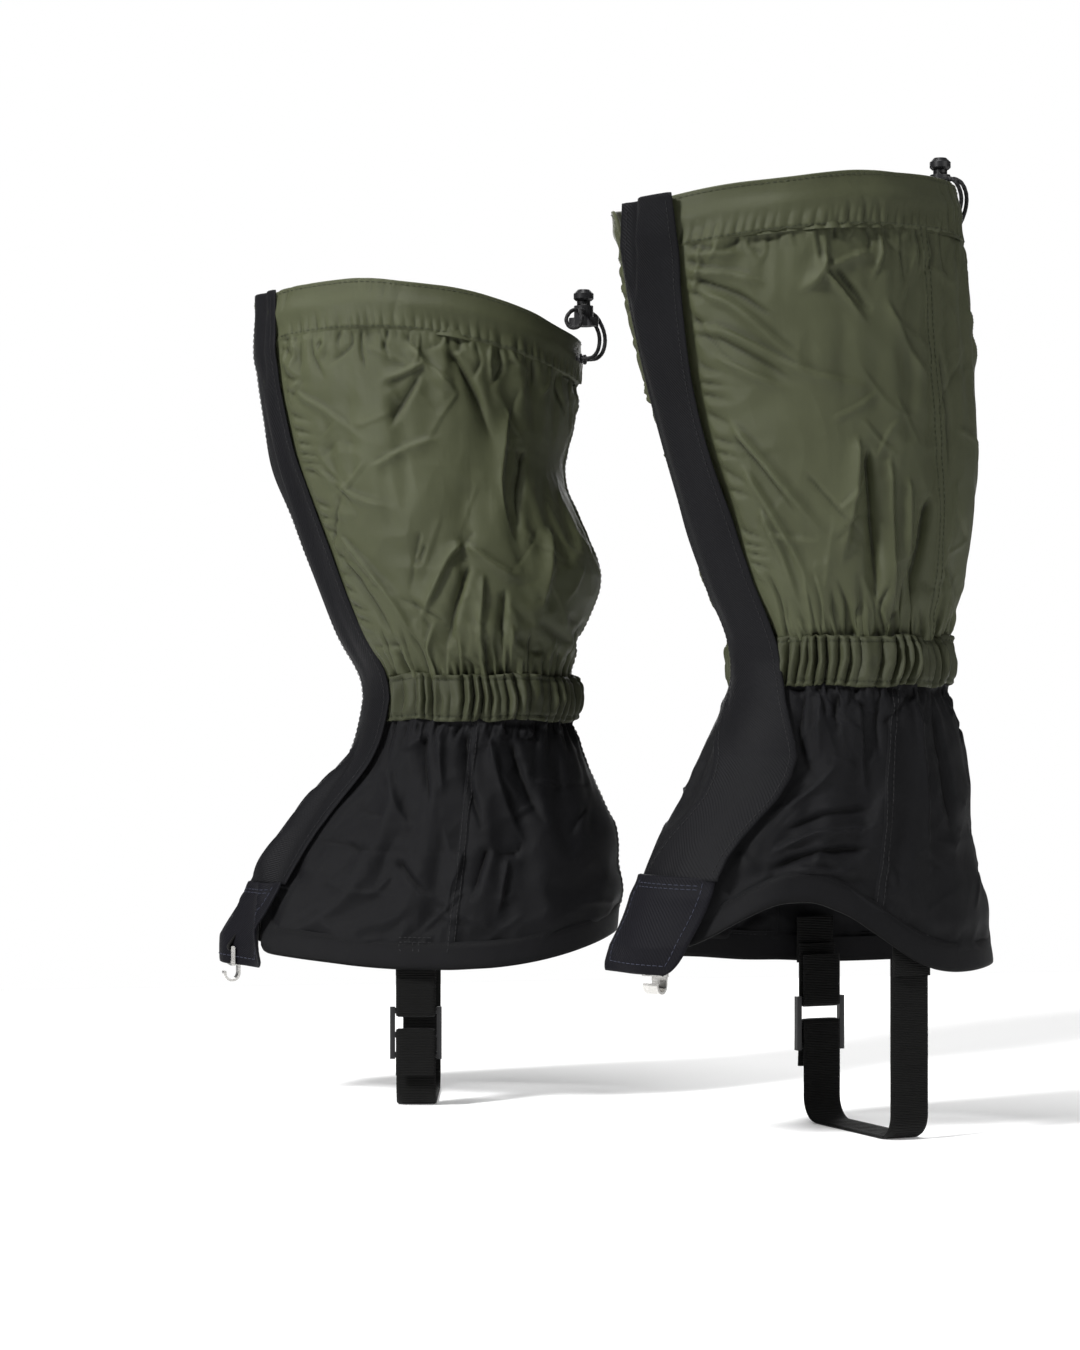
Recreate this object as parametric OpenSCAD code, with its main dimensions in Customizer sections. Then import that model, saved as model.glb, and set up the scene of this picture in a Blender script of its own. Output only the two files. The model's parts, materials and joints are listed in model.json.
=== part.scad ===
// A pair of calf-length gaiters, standing as they do on a wearer's legs in mid stride.
// +Z is up, the toes point to -Y, and +X is the wearer's left.
// The origin is the middle of the left gaiter's ankle band, which grips the ankle and holds it up.

/* [Height, left then right] */
// Height of the calf rim above the ground
rim_h = [456, 431]; // [405:1:470]
// Height of the middle of the elastic ankle band
ankle_h = [229, 212]; // [200:1:240]
// Height of the skirt's hem at its sides
hem_h = [82, 72]; // [65:1:90]

/* [Girth] */
// Depth of the rim, front to back
rim_depth = 168; // [156:1:178]
// Width of the rim, side to side
rim_width = 128; // [116:1:140]
// Depth of the ankle band, front to back
ankle_depth = 103; // [94:1:110]
// Width of the ankle band, side to side
ankle_width = 92; // [84:1:98]
// Width of the skirt at its hem
hem_width = 104; // [98:1:112]
// Reach of the hem in front of the ankle, left then right
hem_front = [112, 131]; // [106:1:140]
// Reach of the hem behind the ankle, left then right
hem_rear = [76, 71]; // [66:1:82]

/* [Stance] */
// How far each foot turns out, in degrees
toe_out = 12; // [0:1:20]
// Distance between the ankles, side to side
stance = 170; // [150:1:220]
// How far the right ankle is ahead of the left
stride = 145; // [0:5:200]

/* [Fabric] */
// Thickness of the shell fabric with its coating and lining
fabric_t = 1.2; // [0.8:0.1:1.4]
// Width of the front flap
flap_w = 38; // [34:1:42]
// Height of the elastic ankle band
band_h = 20; // [16:1:26]
// Depth of the folded hem tunnel at the rim
top_hem_h = 22; // [18:1:32]
// Length of the front tab
tab_len = 40; // [34:1:44]

/* [Webbing and hardware] */
// Width of the strap webbing
webbing_w = 20; // [18:1:22]
// Thickness of the strap webbing
webbing_t = 1.6; // [1.2:0.1:1.8]
// Height of the strap's lower face above the ground, in the arch of the sole
strap_low = 8; // [4:1:12]
// Distance of the strap behind the ankle, left then right
strap_back = [12, -26]; // [-28:1:18]
// Diameter of the drawcord
cord_d = 2; // [1.6:0.2:2.4]
// Travel of the cord lock's button
button_travel = 2.5; // [1.5:0.1:3]

/* [Hidden] */

LEFT = 0;
RIGHT = 1;
OLIVE = [0.30, 0.33, 0.22];
BLACK = [0.10, 0.10, 0.11];
SLATE = [0.16, 0.16, 0.19];

// Layers on the skin, measured outward from the leg side of the shell
gap = 0.5;
shell = [0, fabric_t];
loop_gap = 0.8;
loop_layer = [fabric_t + loop_gap, 2 * fabric_t + loop_gap];
hook_layer = [loop_layer[1] + gap, loop_layer[1] + gap + fabric_t];
flap_layer = [hook_layer[1] + gap, hook_layer[1] + gap + 1.5];
tab_patch_layer = [flap_layer[1] + gap, flap_layer[1] + gap + 1];
tab_layer = [tab_patch_layer[1] + gap, tab_patch_layer[1] + gap + 1.5];
elastic_layer = [fabric_t + loop_gap, fabric_t + loop_gap + 1];
sleeve_layer = [elastic_layer[1] + gap, elastic_layer[1] + gap + fabric_t];
cord_offset = fabric_t + 0.3 + cord_d / 2;
tunnel_layer = [cord_offset + cord_d / 2 + 0.3, cord_offset + cord_d / 2 + 0.3 + fabric_t];
hem_layer = [fabric_t + gap, 2 * fabric_t + gap];

// Edges round the leg, the outer side positive: degrees from the front, millimetres further, and
// 1 where the millimetres count from the flap's middle line
flap_sewn = [0, -flap_w / 2, 1];
flap_free = [0, flap_w / 2, 1];
inner_front = [0, -9, 1];
outer_front = [0, -4, 1];
strip_inner = [0, -3, 1];
strip_outer = [0, 14, 1];
back_seam = 180;

// Skirt side seams, over the front edge of the strap
side_seam = 97;

// Heights of the flap's fold line and of the lower pieces
flap_split = [for (s = [LEFT, RIGHT]) ankle_h[s] + band_h / 2 + 5];
flap_slit = 0.8;
tab_root = [for (s = [LEFT, RIGHT]) hem_h[s] + 28];

// The flap's middle line round the front, in mm: at the tab, half way up the skirt, at the band,
// half way up the calf and at the rim
FLAP_LINE = [[14, 33, 5, 4, 14], [-5, -7, -14, -16, -16]];
function line_levels(s) =
    [tab_root[s], (tab_root[s] + ankle_h[s]) / 2, ankle_h[s], (ankle_h[s] + rim_h[s]) / 2, rim_h[s]];
function mid_line(s, h) =
    let (
        levels = line_levels(s),
        i = max(0, min(3, len([for (l = levels) if (l < h) l]) - 1)),
        t = ease((h - levels[i]) / (levels[i + 1] - levels[i]))
    )
    FLAP_LINE[s][i] + (FLAP_LINE[s][i + 1] - FLAP_LINE[s][i]) * t;

// Shape of the leg's skin: [height, centre behind the ankle, front reach, rear reach, half width]
function skirt_level(s, f) = hem_h[s] + f * (ankle_h[s] - band_h / 2 - hem_h[s]);
function upper_level(s, f) = ankle_h[s] + band_h / 2 + f * (rim_h[s] - ankle_h[s] - band_h / 2);
ankle = ankle_depth / 2;
side = [hem_width / 2, ankle_width / 2, rim_width / 2];
FORM = [
    [
        [skirt_level(LEFT, 0), 2, hem_front[LEFT], hem_rear[LEFT], side[0]],
        [skirt_level(LEFT, 0.3), 0, 97, 71, side[0] - 1],
        [skirt_level(LEFT, 0.55), -2, 78, 68, side[0] - 3],
        [skirt_level(LEFT, 0.8), -1, 66, 64, side[0] - 6],
        [skirt_level(LEFT, 1), 0, ankle, ankle, side[1]],
        [upper_level(LEFT, 0), 0, ankle, ankle, side[1]],
        [upper_level(LEFT, 0.11), -3, 60, 60, side[1] + 6],
        [upper_level(LEFT, 0.34), -7, 72, 72, side[2] - 5],
        [upper_level(LEFT, 0.63), -16, 80, 80, side[2]],
        [upper_level(LEFT, 0.85), -24, 84, 84, side[2] + 1],
        [upper_level(LEFT, 1), -29, rim_depth / 2, rim_depth / 2, side[2]]
    ],
    [
        [skirt_level(RIGHT, 0), 4, hem_front[RIGHT], hem_rear[RIGHT], side[0]],
        [skirt_level(RIGHT, 0.3), 2, 106, 75, side[0] - 1],
        [skirt_level(RIGHT, 0.55), 0, 86, 71, side[0] - 3],
        [skirt_level(RIGHT, 0.8), 0, 61, 60, side[0] - 7],
        [skirt_level(RIGHT, 1), 0, ankle, ankle, side[1]],
        [upper_level(RIGHT, 0), 0, ankle, ankle, side[1]],
        [upper_level(RIGHT, 0.11), -4, 61, 61, side[1] + 6],
        [upper_level(RIGHT, 0.32), -7, 74, 74, side[2] - 5],
        [upper_level(RIGHT, 0.6), -25, 73, 73, side[2]],
        [upper_level(RIGHT, 0.83), -26, 81, 81, side[2] + 1],
        [upper_level(RIGHT, 1), -26, rim_depth / 2 - 2, rim_depth / 2 - 2, side[2]]
    ]
];

// Dips of the rim and rises of the hem round the leg, left then right
rim_front_dip = [19, 17];
rim_rear_dip = [7, 37];
hem_front_rise = [15, 16];
hem_rear_rise = [5, 22];
hem_arch = [32, 20];
hem_arch_at = 66;
hem_arch_spread = 26;

function clamp01(t) = min(1, max(0, t));
function ease(t) = let (c = clamp01(t)) c * c * (3 - 2 * c);

// Smooth curve through the rows of a form, by height
function slope(rows, i) =
    let (a = max(0, i - 1), b = min(len(rows) - 1, i + 1))
    (rows[b] - rows[a]) / (rows[b][0] - rows[a][0]);
function span(rows, h, i = 0) = i >= len(rows) - 2 || h < rows[i + 1][0] ? i : span(rows, h, i + 1);
function form_at(s, h) =
    let (
        rows = FORM[s],
        i = span(rows, h),
        d = rows[i + 1][0] - rows[i][0],
        t = clamp01((h - rows[i][0]) / d),
        t2 = t * t,
        t3 = t2 * t
    )
    rows[i] * (2 * t3 - 3 * t2 + 1) + slope(rows, i) * d * (t3 - 2 * t2 + t)
    + rows[i + 1] * (3 * t2 - 2 * t3) + slope(rows, i + 1) * d * (t3 - t2);

// How far the rim dips and the hem rises at an angle from the front
function rim_shift(s, a) =
    -rim_front_dip[s] * pow((1 + cos(a)) / 2, 2) - rim_rear_dip[s] * pow((1 - cos(a)) / 2, 2);
function hem_shift(s, a) =
    hem_front_rise[s] * pow((1 + cos(a)) / 2, 3) + hem_rear_rise[s] * pow((1 - cos(a)) / 2, 3)
    + hem_arch[s] * exp(-pow((a - hem_arch_at) / hem_arch_spread, 2));
function level_shift(s, a, h) =
    h > ankle_h[s]
        ? rim_shift(s, a) * ease((h - ankle_h[s] - band_h / 2) / (rim_h[s] - ankle_h[s] - band_h / 2))
        : hem_shift(s, a) * ease((ankle_h[s] - band_h / 2 - h) / (ankle_h[s] - band_h / 2 - hem_h[s]));

// A point of the skin in the gaiter's own frame, moved outward by out
function reach_at(f, a) = cos(a) >= 0 ? f[2] : f[3];
function outward(f, a) = let (n = [sin(a) / f[4], -cos(a) / reach_at(f, a)]) n / norm(n);
function skin(s, a, h, out) =
    let (f = form_at(s, h), n = outward(f, a))
    [f[4] * sin(a) + out * n[0], f[1] - reach_at(f, a) * cos(a) + out * n[1], h + level_shift(s, a, h)];
// Angle round the leg at a distance along the skin from the front
function angle_along(f, mm) =
    let (half = mm / f[4] * 90 / PI, r = norm([f[4] * cos(half), f[2] * sin(half)]))
    mm / r * 180 / PI;
function edge_angle(s, edge, h) =
    edge[0] + angle_along(form_at(s, h), edge[1] + (edge[2] == 1 ? mid_line(s, h) : 0));

// Triangles of a closed block of points that has two faces of (cols + 1) by (rows + 1) points
function quad(a, b, c, d) = [[a, b, c], [a, c, d]];
function block_faces(cols, rows) =
    let (w = cols + 1, m = w * (rows + 1))
    concat(
        [for (j = [0 : rows - 1]) for (i = [0 : cols - 1])
            each quad(j * w + i, (j + 1) * w + i, (j + 1) * w + i + 1, j * w + i + 1)],
        [for (j = [0 : rows - 1]) for (i = [0 : cols - 1])
            each quad(m + j * w + i, m + j * w + i + 1, m + (j + 1) * w + i + 1, m + (j + 1) * w + i)],
        [for (i = [0 : cols - 1]) each quad(i, i + 1, m + i + 1, m + i)],
        [for (i = [0 : cols - 1])
            each quad(rows * w + i + 1, rows * w + i, m + rows * w + i, m + rows * w + i + 1)],
        [for (j = [0 : rows - 1]) each quad((j + 1) * w, j * w, m + j * w, m + (j + 1) * w)],
        [for (j = [0 : rows - 1])
            each quad(j * w + cols, (j + 1) * w + cols, m + (j + 1) * w + cols, m + j * w + cols)]
    );

// A strip of the skin between two edges and two heights, in one layer
module strip(s, from, to, low, high, layer, cols, rows) {
    points = [
        for (out = layer) for (j = [0 : rows]) for (i = [0 : cols])
            let (
                h = low + (high - low) * j / rows,
                a0 = edge_angle(s, from, h),
                a1 = edge_angle(s, to, h)
            )
            skin(s, a0 + (a1 - a0) * i / cols, h, out)
    ];
    polyhedron(points = points, faces = block_faces(cols, rows), convexity = 6);
}

// A round cord along a list of points
cord_sides = 8;
function tube_frame(path, i) =
    let (
        t = path[min(i + 1, len(path) - 1)] - path[max(i - 1, 0)],
        dir = t / norm(t),
        side_way = cross(dir, abs(dir[2]) > 0.9 ? [1, 0, 0] : [0, 0, 1]),
        u = side_way / norm(side_way)
    )
    [u, cross(dir, u)];
module tube(path, d) {
    n = len(path);
    points = [
        for (i = [0 : n - 1]) for (k = [0 : cord_sides - 1])
            let (f = tube_frame(path, i), a = 360 * k / cord_sides)
            path[i] + d / 2 * (cos(a) * f[0] + sin(a) * f[1])
    ];
    faces = concat(
        [for (i = [0 : n - 2]) for (k = [0 : cord_sides - 1])
            let (k2 = (k + 1) % cord_sides, a = i * cord_sides, b = a + cord_sides)
            each quad(a + k, b + k, b + k2, a + k2)],
        [[for (k = [0 : cord_sides - 1]) k]],
        [[for (k = [cord_sides - 1 : -1 : 0]) (n - 1) * cord_sides + k]]
    );
    polyhedron(points = points, faces = faces, convexity = 6);
}

// Puts a gaiter's own frame on the left or the right leg
ankle_place = [0, 0, -ankle_h[LEFT]];
module place(s) {
    if (s == LEFT)
        translate(ankle_place) rotate([0, 0, toe_out]) children();
    else
        translate(ankle_place + [-stance, -stride, 0]) rotate([0, 0, -toe_out]) mirror([1, 0, 0]) children();
}

// Parts of the shell
outer_edge = [back_seam, -0.3, 0];
inner_edge = [-back_seam, 0.3, 0];
beside_free = [0, flap_w / 2 + 1, 1];
beside_sewn = [360, -flap_w / 2 - 1, 1];
outer_side = [side_seam, 0, 0];
inner_side = [360 - side_seam, 0, 0];
upper_rows = 24;
function band_low(s) = ankle_h[s] - band_h / 2;
function band_top(s) = ankle_h[s] + band_h / 2;
module upper_outer_panel(s)
    color(OLIVE) strip(s, outer_front, outer_edge, band_low(s) + 0.2, rim_h[s], shell, 15, upper_rows);
module upper_inner_panel(s)
    color(OLIVE) strip(s, inner_edge, inner_front, band_low(s) + 0.2, rim_h[s], shell, 14, upper_rows);
module skirt_front_outer(s)
    color(BLACK) strip(s, outer_front, [side_seam, -0.3, 0], hem_h[s], band_low(s) - 0.2, shell, 9, 10);
module skirt_front_inner(s)
    color(BLACK) strip(s, [-side_seam, 0.3, 0], inner_front, hem_h[s], band_low(s) - 0.2, shell, 7, 10);
module skirt_rear(s)
    color(BLACK) strip(s, outer_side, inner_side, hem_h[s], band_low(s) - 0.2, shell, 18, 10);

// Folded hem at the foot, its three pieces one after another
skirt_hem_h = 14;
module skirt_hem(s)
    color(BLACK) {
        strip(s, beside_free, outer_side, hem_h[s], hem_h[s] + skirt_hem_h, hem_layer, 9, 2);
        strip(s, outer_side + [0, 0.6, 0], inner_side - [0, 0.6, 0], hem_h[s], hem_h[s] + skirt_hem_h,
            hem_layer, 32, 2);
        strip(s, inner_side, beside_sewn, hem_h[s], hem_h[s] + skirt_hem_h, hem_layer, 9, 2);
    }

// Elastic ankle band: the shirred sleeve and the elastic that it hides
module ankle_sleeve(s)
    color(OLIVE) strip(s, beside_free, beside_sewn, band_low(s) + 0.5, band_top(s), sleeve_layer, 50, 3);
module ankle_elastic(s)
    color("gray") strip(s, beside_free + [0, 1, 0], beside_sewn - [0, 1, 0], band_low(s) + 2.5,
        band_top(s) - 2, elastic_layer, 50, 2);

// Drawcord tunnel, with two buttonholes at the back where the cord comes out
exit_angle = [187, 197];
exit_depth = 12;
hole_apart = 3;
hole_r = 1.3;
lock_out = 6;
lock_rise = 12;
function lock_at(s) = skin(s, exit_angle[s], rim_h[s], lock_out) + [0, 0, lock_rise];
function lock_turn(s) = let (n = outward(form_at(s, rim_h[s]), exit_angle[s])) atan2(-n[0], n[1]);
// Frame of the cord lock: x' along the rim, y' away from the leg
module lock_frame(s) translate(lock_at(s)) rotate([0, 0, lock_turn(s)]) children();
// Outer face of the hem at the buttonholes, and its slope there
function hole_out(s, depth) =
    let (
        n = outward(form_at(s, rim_h[s]), exit_angle[s]),
        p = skin(s, exit_angle[s], rim_h[s] - depth, tunnel_layer[1]) - skin(s, exit_angle[s], rim_h[s], lock_out)
    )
    n[0] * p[0] + n[1] * p[1];
function hole_slope(s) = atan2(hole_out(s, exit_depth + 6) - hole_out(s, exit_depth - 6), 12);
module at_holes(s)
    lock_frame(s)
        for (i = [-1, 1])
            translate([i * hole_apart, hole_out(s, exit_depth), -lock_rise - exit_depth])
                rotate([hole_slope(s) - 90, 0, 0]) children();
module top_hem(s)
    color(OLIVE) difference() {
        strip(s, beside_free, beside_sewn, rim_h[s] - top_hem_h, rim_h[s], tunnel_layer, 50, 4);
        at_holes(s) cylinder(r = hole_r, h = 12, center = true, $fn = 32);
    }

// Grommets round the buttonholes
grommet_r = 2.5;
grommet_t = 0.8;
grommet_out = 0.15;
module cord_eyelets(s)
    color("dimgray") at_holes(s) translate([0, 0, grommet_out]) difference() {
        cylinder(r = grommet_r, h = grommet_t, $fn = 40);
        translate([0, 0, -1]) cylinder(r = hole_r, h = grommet_t + 2, $fn = 32);
    }

// Drawcord in the tunnel, from each front edge to its buttonhole
cord_rings = 34;
hole_angle = 3.6;
module drawcord(s)
    color(BLACK) {
        for (ends = [
            [edge_angle(s, beside_free, rim_h[s]) + 1, exit_angle[s] - hole_angle],
            [edge_angle(s, beside_sewn, rim_h[s]) - 1, exit_angle[s] + hole_angle]
        ])
            tube([
                for (i = [0 : cord_rings])
                    skin(s, ends[0] + (ends[1] - ends[0]) * i / cord_rings, rim_h[s] - exit_depth, cord_offset)
            ], cord_d);
    }

// Free part of the drawcord in the lock's frame: out of one hole, through the lock and back
loop_route = [
    [3, 4, -24], [3.2, 6.6, -23.2], [4.4, 8.4, -20.8], [6.8, 8.8, -17],
    [9.6, 8, -13], [12, 6.4, -9], [13, 4.6, -5.4], [12.2, 2.8, -2], [9, 1.3, 0],
    [4.5, 1.3, 0], [0, 1.3, 0], [-4.5, 1.3, 0], [-9, 1.6, 0], [-12.2, 2.8, -1.6],
    [-13.6, 4.2, -5], [-13.4, 3, -8.4], [-13.4, 0, -9.6], [-13.4, -3, -8.4], [-13.6, -4.2, -5],
    [-12.2, -2.8, -1.6], [-9, -1.6, 0], [-4.5, -1.3, 0], [0, -1.3, 0], [4.5, -1.3, 0],
    [9, -1.3, 0], [12, -0.4, -2], [12.6, 1.6, -5.6], [11.2, 3.8, -9.4], [8.6, 5.4, -13],
    [5.4, 6.4, -16.6], [2, 6.8, -20], [-1, 6.2, -22.6], [-3, 4.4, -24]
];
loop_end_in = 1.6;
function loop_end(s, side) = [side * hole_apart, hole_out(s, exit_depth) - loop_end_in, -lock_rise - exit_depth];
function whole_loop(s) = concat([loop_end(s, 1)], loop_route, [loop_end(s, -1)]);
module drawcord_loop(s) color(BLACK) lock_frame(s) tube(whole_loop(s), cord_d);

// Cord lock: a barrel with finger wings, a sprung button and a slot for the doubled cord
strand = 1.3;
slot_r = cord_d / 2 + 0.15;
barrel_r = 4.9;
barrel_top = 2.8;
barrel_low = -7.5;
bore_r = 3.5;
bore_low = -6.3;
stem_r = bore_r - 0.08;
stem_low = -3.2;
button_r = 5.1;
button_low = barrel_top + button_travel + 0.1;
button_top = 11;
wing_reach = 4.2;
wing_r = 3.6;
wing_h = 4.3;
slot_l = 14;
module cord_slot() {
    for (i = [-1, 1])
        translate([0, i * strand, 0]) rotate([0, 90, 0])
            cylinder(r = slot_r, h = slot_l, center = true, $fn = 32);
    translate([-slot_l / 2, -strand, -slot_r]) cube([slot_l, 2 * strand, 2 * slot_r]);
}
module cord_lock_body(s)
    color(BLACK) lock_frame(s) difference() {
        union() {
            translate([0, 0, barrel_low]) cylinder(r = barrel_r, h = barrel_top - barrel_low, $fn = 48);
            for (i = [-1, 1])
                translate([0, i * wing_reach, barrel_low]) cylinder(r = wing_r, h = wing_h, $fn = 48);
            translate([-wing_r, -wing_reach, barrel_low]) cube([2 * wing_r, 2 * wing_reach, wing_h]);
        }
        translate([0, 0, bore_low]) cylinder(r = bore_r, h = barrel_top - bore_low + 1, $fn = 48);
        cord_slot();
    }
module cord_lock_button(s)
    color(BLACK) lock_frame(s) difference() {
        union() {
            translate([0, 0, stem_low]) cylinder(r = stem_r, h = button_low - stem_low + 1, $fn = 48);
            rotate_extrude($fn = 48) {
                polygon([
                    [0, button_low], [button_r - 1, button_low], [button_r, button_low + 1],
                    [button_r, button_top - 2], [button_r - 2, button_top], [0, button_top]
                ]);
            }
        }
        translate([-slot_l / 2, -strand - slot_r, -slot_r])
            cube([slot_l, 2 * (strand + slot_r), 2 * slot_r + button_travel]);
    }
module cord_lock_spring(s)
    color("silver") lock_frame(s) translate([0, 0, bore_low + 0.05]) difference() {
        cylinder(r = 3.2, h = stem_low - bore_low - 0.1, $fn = 40);
        translate([0, 0, -1]) cylinder(r = 2.4, h = stem_low - bore_low + 2, $fn = 40);
    }

// Front closure
module front_loop_strip(s)
    color(BLACK) strip(s, strip_inner, strip_outer, tab_root[s] + 4, rim_h[s] - 4, loop_layer, 3, 32);
module flap_hook_strip(s)
    color(BLACK) strip(s, strip_inner, strip_outer, flap_split[s] + 2, rim_h[s] - 4, hook_layer, 3, 20);
module front_flap(s)
    color(SLATE) strip(s, flap_sewn, flap_free, flap_split[s] + flap_slit, rim_h[s], flap_layer, 6, 20);
module lower_flap(s)
    color(SLATE) strip(s, flap_sewn, flap_free, tab_root[s] + 0.5, flap_split[s] - flap_slit, flap_layer, 8, 12);
tab_side = flap_w / 2;
patch_in = 5;
patch_low = 26;
patch_high = 4;
module flap_tab(s)
    color(SLATE)
        strip(s, [0, -tab_side, 1], [0, tab_side, 1], tab_root[s] - tab_len, tab_root[s] - 1, tab_layer, 8, 6);
module tab_patch(s)
    color(BLACK)
        strip(s, [0, patch_in - tab_side, 1], [0, tab_side - patch_in, 1], tab_root[s] - patch_low,
            tab_root[s] - patch_high, tab_patch_layer, 6, 4);

// Lace hook on its sewn tape, inside the front of the hem
tape_w = 9;
tape_t = 1.2;
tape_up = 22;
bar_r = 1;
bar_drop = 3;
bar_in = 4.9;
hook_leg = 1.6;
hook_leg_gap = 0.6;
hook_leg_h = 7;
foot_h = 2.4;
tape_loop_r = bar_r + 0.08;
hook_in_r = 3;
hook_t = 1.2;
hook_w = 8;
hook_drop = 13;
hook_shank = 4;
hook_lip = 1;
// Middle of the hook's bar
function hook_angle(s) = edge_angle(s, [0, 0, 1], hem_h[s]);
function bar_at(s) = skin(s, hook_angle(s), hem_h[s], -bar_in) - [0, 0, bar_drop];
function hook_turn(s) = let (n = outward(form_at(s, hem_h[s]), hook_angle(s))) atan2(n[0], -n[1]);
module hook_frame(s) translate(bar_at(s)) rotate([0, 0, hook_turn(s)]) children();
function hem_lean(s) =
    let (
        a = hook_angle(s),
        v = skin(s, a, hem_h[s] + tape_up, 0) - skin(s, a, hem_h[s], 0),
        n = outward(form_at(s, hem_h[s]), a)
    )
    atan2(-v[0] * n[0] - v[1] * n[1], v[2]);
module along_x(w) rotate([90, 0, 90]) linear_extrude(w, center = true) children();
module half_ring(r_in, r_out, up)
    difference() {
        circle(r = r_out, $fn = 48);
        circle(r = r_in, $fn = 48);
        translate([-2 * r_out, up ? -4 * r_out : 0]) square([4 * r_out, 4 * r_out]);
    }
module hook_tape(s)
    color(BLACK) hook_frame(s) {
        along_x(tape_w) half_ring(tape_loop_r, tape_loop_r + tape_t, false);
        for (i = [-1, 1])
            along_x(tape_w)
                translate([i * (tape_loop_r + tape_t / 2) - tape_t / 2, 0]) square([tape_t, bar_drop]);
        along_x(tape_w)
            polygon([
                [-tape_loop_r - tape_t, bar_drop], [tape_loop_r + tape_t, bar_drop],
                [tape_loop_r + tape_t + tape_up * tan(hem_lean(s)), bar_drop + tape_up],
                [-tape_loop_r + tape_up * tan(hem_lean(s)), bar_drop + tape_up]
            ]);
    }
module lace_hook(s)
    color("silver") hook_frame(s) {
        rotate([0, 90, 0]) cylinder(r = bar_r, h = tape_w + 4, center = true, $fn = 40);
        for (x = [-tape_w / 2 - hook_leg_gap - hook_leg, tape_w / 2 + hook_leg_gap])
            translate([x, -bar_r, -hook_leg_h]) cube([hook_leg, 2 * bar_r, hook_leg_h]);
        translate([-tape_w / 2 - hook_leg_gap - hook_leg, -bar_r, -hook_leg_h - foot_h + 0.4])
            cube([tape_w + 2 * (hook_leg_gap + hook_leg), 2 * bar_r, foot_h]);
        translate([-hook_w / 2, -bar_r, hook_shank - hook_drop])
            cube([hook_w, hook_in_r + hook_t + bar_r, hook_t]);
        along_x(hook_w) translate([0, -hook_drop]) {
            half_ring(hook_in_r, hook_in_r + hook_t, false);
            translate([hook_in_r, 0]) square([hook_t, hook_shank]);
            translate([-hook_in_r - hook_t, 0]) square([hook_t, hook_lip]);
        }
    }

// Instep strap: out of the outer anchor, under the sole, up to the buckle on the inner side
pivot_rise = 4;
anchor_up = 22;
anchor_out = hem_width / 2 - 5;
strap_out = anchor_out - webbing_t - gap;
corner_r = 12;
bend_h = strap_low + corner_r;
frame_bar_r = 1.5;
wrap_in = frame_bar_r + 0.08;
wrap_out = wrap_in + webbing_t;
bar_x = -(strap_out - wrap_out);
strap_in_x = bar_x + wrap_in;
bar_drops = [20, 32, 42];
tail_len = 20;
rail_w = 2.5;
function pivot_h(s) = hem_h[s] + pivot_rise;
function bar_h(s, i) = pivot_h(s) - bar_drops[i];
module across(w) rotate([90, 0, 0]) linear_extrude(w, center = true) children();
module strap_frame(s) translate([0, strap_back[s], 0]) children();
// Round end of a webbing layer, on the swinging axis
module round_end(s, x)
    translate([x, 0, pivot_h(s)]) rotate([0, 90, 0]) cylinder(d = webbing_w, h = webbing_t, $fn = 64);
module strap_anchor(s)
    color(BLACK) strap_frame(s)
        for (x = [anchor_out - webbing_t, -anchor_out])
            translate([x, -webbing_w / 2, pivot_h(s) - 2]) cube([webbing_t, webbing_w, anchor_up]);
module quarter_ring(r_out, t, flip)
    intersection() {
        difference() {
            circle(r = r_out, $fn = 64);
            circle(r = r_out - t, $fn = 64);
        }
        translate([flip ? -2 * r_out : 0, -2 * r_out]) square(2 * r_out);
    }
module instep_strap(s)
    color(BLACK) strap_frame(s) {
        round_end(s, strap_out - webbing_t);
        across(webbing_w) {
            translate([strap_out - webbing_t, bend_h]) square([webbing_t, pivot_h(s) - bend_h]);
            translate([strap_out - corner_r, bend_h]) quarter_ring(corner_r, webbing_t, false);
            translate([strap_in_x + corner_r, strap_low])
                square([strap_out - strap_in_x - 2 * corner_r, webbing_t]);
            translate([strap_in_x + corner_r, bend_h]) quarter_ring(corner_r, webbing_t, true);
            translate([strap_in_x, bend_h]) square([webbing_t, bar_h(s, 1) - bend_h]);
            translate([bar_x, bar_h(s, 1)]) half_ring(wrap_in, wrap_out, true);
        }
    }
module strap_tail(s)
    color(BLACK) strap_frame(s)
        across(webbing_w)
            translate([bar_x - wrap_out, bar_h(s, 1) - tail_len]) square([webbing_t, tail_len]);
module strap_loop(s)
    color(BLACK) strap_frame(s) {
        round_end(s, -strap_out);
        across(webbing_w) {
            for (x = [bar_x - wrap_out, bar_x + wrap_in])
                translate([x, bar_h(s, 0)]) square([webbing_t, pivot_h(s) - bar_h(s, 0)]);
            translate([bar_x, bar_h(s, 0)]) half_ring(wrap_in, wrap_out, false);
        }
    }
module strap_buckle(s)
    color(BLACK) strap_frame(s) {
        for (i = [0 : 2])
            translate([bar_x, 0, bar_h(s, i)]) rotate([90, 0, 0])
                cylinder(r = frame_bar_r, h = webbing_w + 2, center = true, $fn = 40);
        for (i = [-1, 1])
            translate([bar_x - frame_bar_r, i * (webbing_w / 2 + 0.4 + rail_w / 2) - rail_w / 2,
                bar_h(s, 2) - 2])
                cube([2 * frame_bar_r, rail_w, bar_h(s, 0) - bar_h(s, 2) + 4]);
    }

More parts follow.
